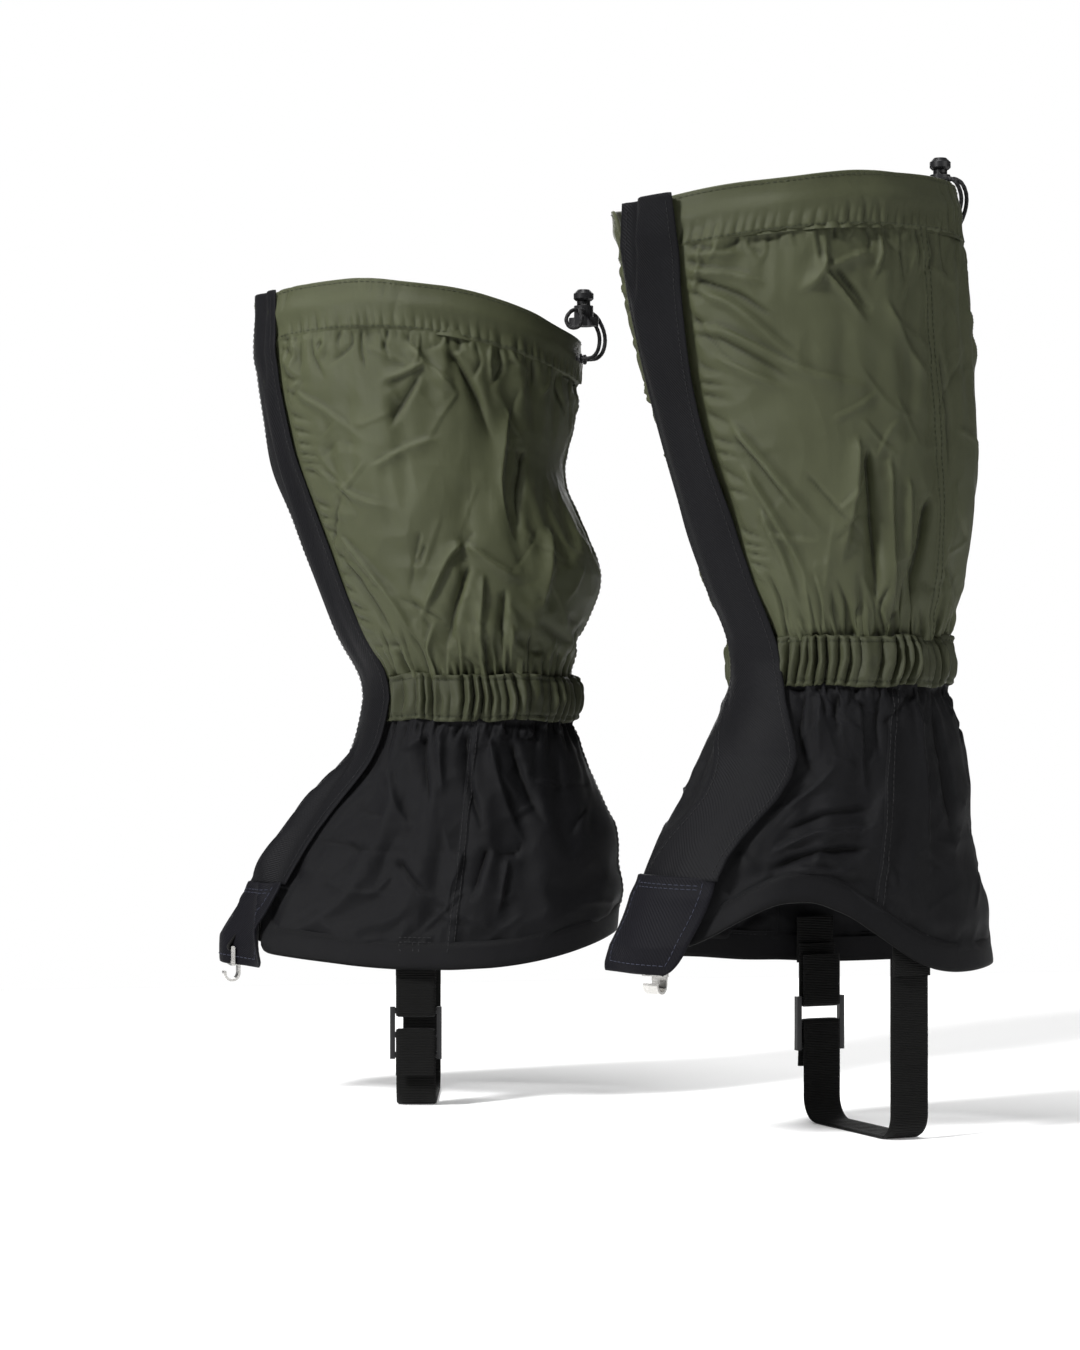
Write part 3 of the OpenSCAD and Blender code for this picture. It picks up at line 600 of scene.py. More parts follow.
class Leg:
    """One gaiter: its own axes, and the skin that its CAD panels lie on.

    theta is the angle from the front in degrees, the outer side positive. level is 0 at the hem,
    1 at the band's lower edge and 2 at the rim."""

    def __init__(self, side):
        self.side = side
        self.o = np.array(MOUNTS[side + "_ankle_band"]["pos_m"], float)
        ax = np.array(JOINTS[side + "_strap_swing"]["axis"], float)
        ax[2] = 0
        outward = 1 if side == "left" else -1
        self.x = unit(ax) * (1 if ax[0] * outward > 0 else -1)
        self.y = np.array([-self.x[1], self.x[0], 0])
        if self.y[1] < 0:
            self.y = -self.y
        self.flip = side == "right"
        self.rim_y = float(self.local(np.array(MOUNTS[side + "_calf_mouth"]["pos_m"]))[1])
        self.rim_top = max(self.node_points(side + "_upper_outer_panel")[:, 2])
        self.read_skin()

    def local(self, p):
        d = np.asarray(p, float) - self.o
        return np.stack([d @ self.x, d @ self.y, d[..., 2]], -1)

    def world(self, q):
        q = np.asarray(q, float)
        return self.o + q[..., :1] * self.x + q[..., 1:2] * self.y + q[..., 2:] * UP

    def node_points(self, *names):
        co = np.array([v.co for n in names for v in NODES[n].data.vertices], float)
        return self.local(co)

    def centre_y(self, z):
        """The leg leans: its middle line runs from the hem through the band to the rim."""
        return np.where(np.asarray(z) > 0, self.rim_y * np.clip(z / self.rim_top, 0, 1), np.asarray(z) * 0.12)

    def tree(self, names):
        verts, faces = [], []
        for n in names:
            mesh = NODES[n].data
            base = len(verts)
            verts += [Vector(v) for v in self.local(np.array([v.co for v in mesh.vertices]))]
            faces += [[base + i for i in p.vertices] for p in mesh.polygons]
        return BVHTree.FromPolygons(verts, faces)

    def reach(self, tree, theta, z):
        """Distance from the middle line to the panel, or None where there is none."""
        a = math.radians(theta)
        d = Vector((math.sin(a), -math.cos(a), 0))
        hit = tree.ray_cast(Vector((0, float(self.centre_y(z)), z)), d, 0.3)
        return hit[3]

    def edge(self, tree, theta, start, end):
        """Height where the panel ends between a height on it and one past it."""
        if self.reach(tree, theta, start) is None:
            return None
        inside, past = start, end
        for _ in range(14):
            z = (inside + past) / 2
            if self.reach(tree, theta, z) is None:
                past = z
            else:
                inside = z
        return inside

    def filled(self, a):
        """Fills the angles where a ray met no panel from their neighbours."""
        t = np.arange(STEPS)
        a = a.copy()
        for j in range(a.shape[1]):
            ok = ~np.isnan(a[:, j])
            known = np.concatenate([t[ok] - STEPS, t[ok], t[ok] + STEPS])
            a[:, j] = np.interp(t, known, np.tile(a[ok, j], 3))
        return a

    def read_skin(self):
        s = self.side
        upper = self.tree([s + "_upper_outer_panel", s + "_upper_inner_panel"])
        skirt = self.tree([s + "_skirt_front_outer", s + "_skirt_front_inner", s + "_skirt_rear"])
        self.thetas = (np.arange(STEPS) + 0.37) * 360 / STEPS
        tops = np.full((STEPS, 1), np.nan)
        hems = np.full((STEPS, 1), np.nan)
        for k, t in enumerate(self.thetas):
            top = self.edge(upper, t, 0.03, 0.32)
            hem = self.edge(skirt, t, -BAND / 2 - 0.004, -0.24)
            tops[k] = np.nan if top is None else top
            hems[k] = np.nan if hem is None else hem
        self.tops = smooth_round(self.filled(tops), 2)[:, 0]
        self.hems = smooth_round(self.filled(hems), 2)[:, 0]
        rows = []
        for part, count in ((0, SKIRT_ROWS), (1, UPPER_ROWS)):
            r = np.full((STEPS, count + 1), np.nan)
            for k, t in enumerate(self.thetas):
                low = self.hems[k] if part == 0 else -BAND / 2
                high = -BAND / 2 if part == 0 else self.tops[k]
                for j in range(count + 1):
                    z = low + (high - low) * j / count
                    z = min(max(z, low + 1.2 * MM), high - 1.2 * MM)
                    d = self.reach(upper if part else skirt, t, z)
                    r[k, j] = np.nan if d is None else d
            r = self.filled(r)
            spread = np.abs(r - smooth_round(r, 3))
            r[spread > 0.0025] = np.nan
            rows.append(self.filled(r))
        radius = np.concatenate([rows[0][:, :-1], rows[1]], axis=1)
        radius = smooth_open(smooth_round(radius, 2.2), 2.0, 1)
        hems, tops = self.hems[:, None], self.tops[:, None]
        skirt_z = hems + (-BAND / 2 - hems) * np.linspace(0, 1, SKIRT_ROWS + 1)[:-1]
        upper_z = -BAND / 2 + (tops + BAND / 2) * np.linspace(0, 1, UPPER_ROWS + 1)
        z = np.concatenate([skirt_z, upper_z], axis=1)
        a = np.radians(self.thetas)[:, None]
        self.p = np.stack([radius * np.sin(a), self.centre_y(z) - radius * np.cos(a), z], -1)
        du = np.roll(self.p, -1, 0) - np.roll(self.p, 1, 0)
        dv = np.gradient(self.p, axis=1)
        self.n = unit(np.cross(du, dv))

    def height_of(self, edge, theta):
        """Height of the rim (tops) or of the hem (hems) at an angle."""
        k = ((np.asarray(theta, float) - self.thetas[0]) / 360 * STEPS) % STEPS
        return np.interp(k, np.arange(STEPS + 1), np.append(edge, edge[0]))

    def angle(self, q):
        """The angle of a point, or of points, in the gaiter's own axes."""
        return np.degrees(np.arctan2(q[..., 0], -(q[..., 1] - self.centre_y(q[..., 2]))))

    def level_at(self, theta, z):
        """Level of a height at an angle."""
        top, hem = self.height_of(self.tops, theta), self.height_of(self.hems, theta)
        z = np.asarray(z, float)
        return np.where(z < -BAND / 2, (z - hem) / (-BAND / 2 - hem), 1 + (z + BAND / 2) / (top + BAND / 2))

    def skin_local(self, theta, level, out=0.0):
        theta, level, out = np.broadcast_arrays(*(np.asarray(a, float) for a in (theta, level, out)))
        x = ((theta - self.thetas[0]) / 360 * STEPS) % STEPS
        y = np.where(level < 1, level * SKIRT_ROWS, SKIRT_ROWS + (level - 1) * UPPER_ROWS)
        y = np.clip(y, 0, SKIRT_ROWS + UPPER_ROWS)
        i = x.astype(int) % STEPS
        j = np.minimum(y.astype(int), SKIRT_ROWS + UPPER_ROWS - 1)
        fx, fy = (x - np.floor(x))[..., None], (y - j)[..., None]
        i2 = (i + 1) % STEPS

        def mix(a):
            low = a[i, j] * (1 - fx) + a[i2, j] * fx
            high = a[i, j + 1] * (1 - fx) + a[i2, j + 1] * fx
            return low * (1 - fy) + high * fy

        return mix(self.p) + unit(mix(self.n)) * out[..., None]

    def skin(self, theta, level, out=0.0):
        return self.world(self.skin_local(theta, level, out))

    def edges(self, *names):
        """The angles at which a CAD strip begins and ends, by height: [height, from, to]."""
        q = self.node_points(*names)
        theta = self.angle(q)
        order = np.argsort(q[:, 2])
        z, theta = q[order, 2], theta[order]
        rows = []
        for low in np.arange(z[0], z[-1], 0.009):
            pick = (z >= low - 0.002) & (z < low + 0.013)
            if pick.sum() >= 4:
                rows.append([z[pick].mean(), theta[pick].min(), theta[pick].max()])
        rows = np.array(rows)
        rows[:, 1:] = smooth_open(rows[:, 1:], 1.0, 0) if len(rows) > 8 else rows[:, 1:]
        return rows


LEGS = {side: Leg(side) for side in ("left", "right")}


def strip_edges(rows, z):
    """The angles at which a strip begins and ends at a height."""
    return np.interp(z, rows[:, 0], rows[:, 1]), np.interp(z, rows[:, 0], rows[:, 2])


# ---------------------------------------------------------------- cloth simulation
SIM_SCALE = 10.0
SKIRT_LONG, UPPER_LONG = 0.147, 0.237  # about the cloth's length from hem to band and from band to rim
SKIRT_LEVELS = (0.07, 0.995)
FRAMES = 42  # of cloth simulation


def pleats(seed, n, count):
    """Uneven pleats round the band, from -1 to 1."""
    u = np.linspace(0, 1, n)
    phase = count * u + 0.33 * wander(seed, n, n / 60)
    size = 0.75 + 0.25 * wander(seed + 1, n, n / 50)
    return np.sin(2 * math.pi * phase) * np.clip(size, 0.25, 1.4)


class Shell:
    """A cloth tube, open along the front: a grid pinned at its two ends, slack in between."""

    def __init__(self, leg, name, levels, size, gather, pleat, slack, twist, seed):
        """Levels and size are those of the grid; gather and pleat are for its lower and its upper end."""
        low, high = levels
        nu, nv = size
        self.leg, self.name, self.nu, self.nv = leg, name, nu, nv
        rows = leg.edges(leg.side + "_front_flap", leg.side + "_lower_flap")
        levels = np.linspace(*levels, nv)
        mid_z = leg.skin_local(np.zeros(nv), levels)[:, 2]
        for _ in range(2):
            a, b = strip_edges(rows, mid_z)
            front = (a + b) / 2
            mid_z = leg.skin_local(front, levels)[:, 2]
        u = np.linspace(0, 1, nu)
        self.theta = front[None, :] + OPEN_AT + u[:, None] * ROUND
        self.level = np.broadcast_to(levels[None, :], (nu, nv))
        v = np.linspace(0, 1, nv)[None, :]
        height = (high - low) * (SKIRT_LONG if high <= 1 else UPPER_LONG)
        near_low, near_high = v * height, (1 - v) * height
        count = max(24, int(nu / 7))
        pleat_low, pleat_high = (np.exp(-((near / 0.020) ** 1.4)) for near in (near_low, near_high))
        shape = pleats(seed, nu, count)[:, None] * pleat[0] * pleat_low
        shape = shape + pleats(seed + 5, nu, count - 3)[:, None] * pleat[1] * pleat_high
        inner = np.clip(np.minimum(near_low, near_high) / 0.03, 0, 1)
        shape = shape + field(seed + 9, (nu, nv), (nu / 40, nv / 14)) * 0.0012 * inner
        self.start = leg.skin(self.theta, self.level, 0.0004 + shape)
        # the cut of the cloth: wider where it is gathered, a little long, and turned against the leg
        near_ends = zip(gather, (near_low, near_high))
        wide = 1.012 + sum(g * np.exp(-((near / 0.055) ** 1.3)) for g, near in near_ends)
        turn = twist * (v - 0.5)
        q = leg.skin_local(self.theta + turn, self.level, 0.0)
        centre = np.stack([np.zeros_like(q[..., 0]), leg.centre_y(q[..., 2]), q[..., 2]], -1)
        q = centre + (q - centre) * wide[..., None]
        middle = q[..., 2].mean()
        q[..., 2] = middle + (q[..., 2] - middle) * (1 + slack)
        self.rest = leg.world(q)
        self.pinned = np.ones((nu, nv))
        self.pinned[3:-3, 2:-2] = 0

    def build(self):
        faces = grid_faces(self.nu, self.nv, flip=self.leg.flip)
        obj = new_mesh(self.name, self.start.reshape(-1, 3) * SIM_SCALE, faces, MATS["shell"])
        obj.shape_key_add(name="Basis")
        key = obj.shape_key_add(name="cut")
        key.data.foreach_set("co", (self.rest.reshape(-1, 3) * SIM_SCALE).astype(np.float32).ravel())
        key.value = 0
        group = obj.vertex_groups.new(name="pin")
        group.add([int(i) for i in np.flatnonzero(self.pinned.reshape(-1))], 1.0, "REPLACE")
        cloth = obj.modifiers.new("cloth", "CLOTH")
        c = cloth.settings
        c.quality = 5
        c.mass = 0.2
        c.tension_stiffness = c.compression_stiffness = 25
        c.shear_stiffness = 6
        c.bending_stiffness = 0.9
        c.tension_damping = c.compression_damping = c.shear_damping = 8
        c.air_damping = 2.5
        c.vertex_group_mass = "pin"
        c.rest_shape_key = key
        c.effector_weights.gravity = 0.15
        cloth.collision_settings.use_self_collision = False
        cloth.collision_settings.distance_min = 0.01
        cloth.collision_settings.collision_quality = 2
        cloth.point_cache.frame_start, cloth.point_cache.frame_end = 1, 60
        self.obj = obj

    def result(self):
        got = self.obj.evaluated_get(bpy.context.evaluated_depsgraph_get()).to_mesh()
        co = np.zeros(self.nu * self.nv * 3, np.float32)
        got.vertices.foreach_get("co", co)
        p = co.reshape(self.nu, self.nv, 3).astype(float) / SIM_SCALE
        if not np.isfinite(p).all():
            p = self.start
        away = p - self.start
        far = np.linalg.norm(away, axis=-1, keepdims=True)
        limit = 0.009
        p = self.start + away * np.where(far > limit, limit / np.maximum(far, 1e-9), 1)
        return p


def leg_form(leg):
    """The leg inside, which the cloth lies against."""
    theta = np.linspace(0, 360, 73)[:-1][:, None]
    level = np.concatenate([np.linspace(0, 1, 16)[:-1], np.linspace(1, 2, 30)])[None, :]
    p = leg.skin(theta, level, -0.0045) * SIM_SCALE
    faces = grid_faces(72, level.shape[1], closed=True, flip=leg.flip)
    obj = new_mesh(leg.side + "_leg_form", p.reshape(-1, 3), faces, MATS["elastic"])
    obj.modifiers.new("collision", "COLLISION")
    obj.collision.thickness_outer = 0.01
    return obj


def make_shells(frames):
    stitch_level = {}
    shells = {}
    for k, (side, leg) in enumerate(LEGS.items()):
        sign = 1 if side == "left" else -1
        stitch = 2 - TOP_HEM / (leg.tops.mean() + BAND / 2)
        stitch_level[side] = stitch
        shells[side, "upper"] = Shell(
            leg, side + "_upper", (1.085, stitch), (250, 78), gather=(0.40, 0.05),
            pleat=(0.0015, 0.0004), slack=0.06, twist=13 * sign, seed=11 + k,
        )
        shells[side, "skirt"] = Shell(
            leg, side + "_skirt", SKIRT_LEVELS, (230, 52), gather=(0.02, 0.26),
            pleat=(0.0002, 0.0013), slack=0.065, twist=8 * sign, seed=31 + k,
        )
    if frames:
        forms = [leg_form(leg) for leg in LEGS.values()]
        for shell in shells.values():
            shell.build()
        for f in range(1, frames + 1):
            bpy.context.scene.frame_set(f)
        made = {key: shell.result() for key, shell in shells.items()}
        for obj in forms + [s.obj for s in shells.values()]:
            bpy.data.objects.remove(obj)
        bpy.context.scene.frame_set(1)
    else:
        made = {key: shell.start for key, shell in shells.items()}
    return shells, made, stitch_level


SHELLS, CLOTH, STITCH = make_shells(FRAMES)


# ---------------------------------------------------------------- folds and creases
# Each fold: height and half width in mm (below zero: a valley), then its run as angle and height share.
CREST, VALLEY, FOLD_WIDTH = 1.85, 2.35, 0.85  # how much of each is drawn
FOLDS = {
    ("left", "upper"): [
        (1.6, 3.2, [(24, 0.93), (40, 0.90), (52, 0.86)]),
        (1.3, 2.4, [(24, 0.97), (36, 0.955), (46, 0.95)]),
        (2.2, 3.4, [(25, 0.88), (38, 0.83), (52, 0.72), (66, 0.64)]),
        (-1.3, 2.6, [(25, 0.905), (40, 0.855), (56, 0.76)]),
        (2.0, 3.4, [(26, 0.80), (40, 0.74), (56, 0.66), (74, 0.62), (92, 0.60)]),
        (-1.2, 2.8, [(27, 0.77), (42, 0.70), (58, 0.62)]),
        (1.7, 3.0, [(27, 0.72), (42, 0.65), (56, 0.60)]),
        (2.4, 4.4, [(74, 0.93), (72, 0.885), (68, 0.86), (60, 0.84)]),
        (2.6, 2.6, [(72, 0.89), (80, 0.83), (90, 0.75)]),
        (-1.5, 3.2, [(77, 0.90), (86, 0.83), (93, 0.78)]),
        (1.6, 3.4, [(72, 0.89), (86, 0.92), (98, 0.935)]),
        (1.5, 3.4, [(98, 0.82), (108, 0.70), (122, 0.60)]),
        (2.3, 4.2, [(28, 0.56), (38, 0.46), (52, 0.33), (66, 0.22)]),
        (-1.6, 3.0, [(29, 0.52), (40, 0.41), (52, 0.29)]),
        (2.0, 3.6, [(30, 0.45), (38, 0.34), (46, 0.22), (54, 0.09)]),
        (1.8, 3.2, [(34, 0.34), (40, 0.22), (46, 0.05)]),
        (2.6, 5.0, [(80, 0.50), (78, 0.40), (72, 0.27), (66, 0.16)]),
        (-3.4, 4.6, [(84, 0.475), (85, 0.36), (85, 0.20), (84, 0.03)]),
        (2.2, 4.2, [(95, 0.46), (94, 0.30), (93, 0.14), (92, 0.03)]),
        (-3.0, 5.0, [(116, 0.36), (112, 0.26), (107, 0.14), (104, 0.03)]),
        (2.0, 4.6, [(104, 0.40), (103, 0.26), (100, 0.12)]),
        (-1.6, 3.8, [(126, 0.72), (130, 0.55), (128, 0.38)]),
        (1.6, 3.8, [(134, 0.40), (128, 0.24), (122, 0.06)]),
    ],
    ("left", "skirt"): [
        (-1.8, 3.4, [(44, 0.97), (44, 0.82), (47, 0.66), (58, 0.50)]),
        (1.8, 3.6, [(52, 0.97), (54, 0.80), (56, 0.62)]),
        (-1.5, 3.0, [(62, 0.96), (62, 0.84), (65, 0.74)]),
        (1.7, 4.6, [(74, 0.95), (76, 0.78), (80, 0.60), (86, 0.46)]),
        (-1.6, 4.2, [(86, 0.96), (87, 0.80), (91, 0.64)]),
        (2.0, 5.0, [(112, 0.96), (118, 0.70), (122, 0.44), (126, 0.24)]),
        (-1.8, 4.6, [(126, 0.94), (134, 0.66), (138, 0.40)]),
        (2.6, 3.4, [(40, 0.20), (58, 0.27), (78, 0.33), (95, 0.37)]),
        (-2.0, 3.0, [(40, 0.12), (58, 0.18), (78, 0.24), (96, 0.29)]),
        (-1.4, 3.0, [(44, 0.29), (60, 0.36), (78, 0.42), (92, 0.45)]),
        (1.9, 2.8, [(50, 0.09), (68, 0.10), (86, 0.17)]),
        (1.6, 3.0, [(44, 0.40), (56, 0.50), (66, 0.62)]),
    ],
    ("right", "upper"): [
        (2.6, 4.2, [(-84, 0.96), (-90, 0.90), (-98, 0.86), (-104, 0.80)]),
        (-2.4, 3.8, [(-100, 0.95), (-108, 0.89), (-113, 0.80), (-118, 0.68)]),
        (2.2, 3.4, [(-90, 0.90), (-78, 0.86), (-68, 0.84)]),
        (-1.6, 3.4, [(-88, 0.87), (-78, 0.78), (-70, 0.70)]),
        (2.4, 4.6, [(-128, 0.84), (-120, 0.66), (-116, 0.50), (-126, 0.36)]),
        (-2.0, 4.2, [(-136, 0.72), (-128, 0.56), (-124, 0.44)]),
        (2.6, 3.8, [(-98, 0.40), (-90, 0.36), (-80, 0.26), (-66, 0.14)]),
        (-2.6, 4.0, [(-100, 0.34), (-94, 0.26), (-86, 0.16), (-80, 0.04)]),
        (2.0, 3.2, [(-98, 0.40), (-112, 0.34), (-126, 0.30)]),
        (-2.0, 4.0, [(-116, 0.28), (-114, 0.16), (-112, 0.03)]),
        (2.0, 3.8, [(-106, 0.32), (-102, 0.18), (-100, 0.04)]),
        (1.8, 3.4, [(-34, 0.44), (-48, 0.32), (-60, 0.20), (-70, 0.05)]),
        (-1.7, 3.2, [(-34, 0.36), (-46, 0.24), (-56, 0.10)]),
        (1.6, 3.2, [(-32, 0.62), (-50, 0.52), (-70, 0.48)]),
        (1.5, 3.0, [(-30, 0.84), (-46, 0.76), (-62, 0.66)]),
        (1.4, 3.4, [(-60, 0.60), (-78, 0.66), (-96, 0.70)]),
        (2.2, 5.0, [(-142, 0.50), (-138, 0.34), (-134, 0.20)]),
    ],
    ("right", "skirt"): [
        (-2.0, 3.6, [(-66, 0.96), (-66, 0.84), (-70, 0.72), (-76, 0.58)]),
        (2.0, 3.8, [(-76, 0.96), (-77, 0.82), (-82, 0.66)]),
        (-1.9, 4.0, [(-92, 0.96), (-94, 0.84), (-98, 0.70), (-108, 0.52)]),
        (2.0, 4.6, [(-106, 0.95), (-112, 0.78), (-122, 0.58), (-132, 0.42)]),
        (-2.0, 5.0, [(-120, 0.92), (-130, 0.70), (-140, 0.50)]),
        (1.8, 4.6, [(-44, 0.80), (-54, 0.62), (-68, 0.50)]),
        (-2.2, 4.6, [(-112, 0.46), (-108, 0.34), (-104, 0.20)]),
        (2.0, 4.4, [(-98, 0.44), (-94, 0.32), (-92, 0.18)]),
        (1.8, 4.2, [(-122, 0.40), (-120, 0.26), (-118, 0.12)]),
        (-1.4, 3.6, [(-60, 0.40), (-72, 0.30), (-84, 0.24)]),
    ],
}


def end_pleats(r, count, end, reach, tall, wide, bend):
    """Short pleats all round one end of the cloth: v is 0 at the lower end and 1 at the upper one."""
    made = []
    for k in range(count):
        t = 8 + 346 * (k + 0.5 + r.uniform(-0.42, 0.42)) / count
        far = r.uniform(*reach)
        height, width = r.choice([1, -1]) * r.uniform(*tall), r.uniform(*wide)
        middle = (t + r.normal() * 1.5, abs(end - far * 0.5))
        made.append((height, width, [(t, end), middle, (t + r.normal() * bend, abs(end - far))]))
    return made


def more_folds(seed, low_pleats, high_pleats, count, skip):
    """Pleats at the gathered ends and slanting creases, the creases lower where FOLDS has the photo's."""
    r = np.random.default_rng(seed)
    made = end_pleats(r, low_pleats, 0.0, (0.06, 0.2), (0.7, 1.6), (1.3, 2.6), 4)
    made += end_pleats(r, high_pleats, 1.0, (0.03, 0.16), (0.5, 1.2), (1.2, 2.4), 5)
    for _ in range(count):
        t, v = r.uniform(5, 355), r.uniform(0.08, 0.95)
        dt, dv = r.uniform(8, 30), r.choice([-1, 1]) * r.uniform(0.03, 0.22)
        bow = r.normal() * 0.02
        strength = 0.45 if skip[0] < (t + dt / 2 + 180) % 360 - 180 < skip[1] else 1.0
        height, width = strength * r.choice([1, 1, -1]) * r.uniform(0.5, 1.9), r.uniform(1.6, 4.0)
        made.append((height, width, [(t, v), (t + dt / 2, v + dv / 2 + bow), (t + dt, v + dv)]))
    return made


# ---------------------------------------------------------------- pieces of one gaiter
def wave_abs(phase):
    """Round ridges with sharp valleys between them, from -1 to 1."""
    return 2 * np.abs(np.sin(math.pi * phase)) ** 0.85 - 1


def hose_faces(n, m):
    """The faces between n closed rings of m points each."""
    return [
        [i * m + k, i * m + (k + 1) % m, (i + 1) * m + (k + 1) % m, (i + 1) * m + k]
        for i in range(n - 1)
        for k in range(m)
    ]


def tube(name, path, radius, material, sides=14, braid=0.0, pitch=3.2 * MM):
    """A round tube along a line of points, with the crossing strands of a braid standing on it."""
    p = np.asarray(path, float)
    t = unit(np.gradient(p, axis=0))
    frame_u = np.zeros_like(p)
    u = unit(np.cross(t[0], [0.3, 0.2, 0.93]))
    for i in range(len(p)):
        u = unit(u - t[i] * (u @ t[i]))
        frame_u[i] = u
    frame_v = np.cross(t, frame_u)
    s = distances(p)[:, None]
    a = np.linspace(0, 2 * math.pi, sides + 1)[:-1][None, :]
    strands = np.maximum(np.sin(4 * a + 2 * math.pi * s / pitch), np.sin(4 * a - 2 * math.pi * s / pitch))
    r = radius * (1 + braid * (strands - 0.4))
    turn = np.cos(a)[..., None] * frame_u[:, None] + np.sin(a)[..., None] * frame_v[:, None]
    ring = p[:, None] + r[..., None] * turn
    n, m = ring.shape[:2]
    points = np.concatenate([ring.reshape(-1, 3), [p[0], p[-1]]])
    faces = hose_faces(n, m)
    faces += [[k, len(points) - 2, (k + 1) % m] for k in range(m)]
    faces += [[(n - 1) * m + (k + 1) % m, len(points) - 1, (n - 1) * m + k] for k in range(m)]
    uv = np.stack(np.broadcast_arrays(a * radius, s), -1).reshape(-1, 2)
    uv = np.concatenate([uv, uv[[0, -1]]])
    return new_mesh(name, points, faces, material, uv)


def curve_through(points, step):
    """A smooth line through points, with points a step apart."""
    p = np.asarray(points, float)
    ext = np.concatenate([2 * p[:1] - p[1:2], p, 2 * p[-1:] - p[-2:-1]])
    out = []
    for i in range(1, len(ext) - 2):
        t = np.linspace(0, 1, 12)[:-1, None]
        a, b, c, d = ext[i - 1 : i + 3]
        square, cube = 2 * a - 5 * b + 4 * c - d, 3 * b - a - 3 * c + d
        out.append(0.5 * (2 * b + (c - a) * t + square * t**2 + cube * t**3))
    line = np.concatenate(out + [p[-1:]])
    along = distances(line)
    s = np.linspace(0, along[-1], max(2, int(along[-1] / step) + 1))
    return np.stack([np.interp(s, along, line[:, k]) for k in range(3)], -1)


def ribbon(name, leg, path, y, width, thick, material):
    """Webbing along a path of (x, z) in the gaiter's own frame; ribs cross its middle."""
    p = np.asarray(path, float)
    p3 = curve_through(np.insert(p, 1, 0, axis=1), 0.42 * MM)[:, [0, 2]]
    t = unit(np.gradient(p3, axis=0))
    n = np.stack([t[:, 1], -t[:, 0]], -1)
    s = distances(p3)
    cols = 18
    w = np.linspace(-0.5, 0.5, cols)
    middle = ease((0.36 - np.abs(w)) / 0.06)[None, :]
    rib = (np.abs(np.sin(math.pi * s / (1.5 * MM)))[:, None] - 0.5) * 0.22 * MM * middle
    edge = (1 - ease((0.5 - np.abs(w)) / 0.06))[None, :] * 0.38 * thick
    half = thick / 2 - edge
    rows = []
    for sign in (1, -1):
        off = sign * (half + rib)
        x = p3[:, None, 0] + n[:, None, 0] * off
        z = p3[:, None, 1] + n[:, None, 1] * off
        yy = y + np.broadcast_to(w[None, :] * width, x.shape)
        rows.append(leg.world(np.stack([x, yy, z], -1)))
    a, b = rows
    nr = len(p3)
    loop = np.concatenate([a, b[:, ::-1]], axis=1)
    m = 2 * cols
    points = loop.reshape(-1, 3)
    faces = hose_faces(nr, m)
    faces += [[k, k + 1, m - 2 - k, m - 1 - k] for k in range(cols - 1)]
    last = (nr - 1) * m
    faces += [[last + m - 1 - k, last + m - 2 - k, last + k + 1, last + k] for k in range(cols - 1)]
    across = np.concatenate([w, w[::-1] + 1.0]) * width
    uv = np.stack(np.broadcast_arrays(across[None, :], s[:, None]), -1).reshape(-1, 2)
    return new_mesh(name, points, faces if leg.flip else [f[::-1] for f in faces], material, uv)


# part, name, the angles between which it is cut, and the CAD panel that it stands for
PANELS = [
    ("upper", "upper_outer", 0, 180, "upper_outer_panel"),
    ("upper", "upper_inner", 180, 360, "upper_inner_panel"),
    ("skirt", "skirt_cloth_outer", 0, 97, "skirt_front_outer"),
    ("skirt", "skirt_cloth_rear", 97, 263, "skirt_rear"),
    ("skirt", "skirt_cloth_inner", 263, 360, "skirt_front_inner"),
]
SEAMS = [("upper", 122), ("upper", 180), ("skirt", 97), ("skirt", 263), ("skirt", 180)]


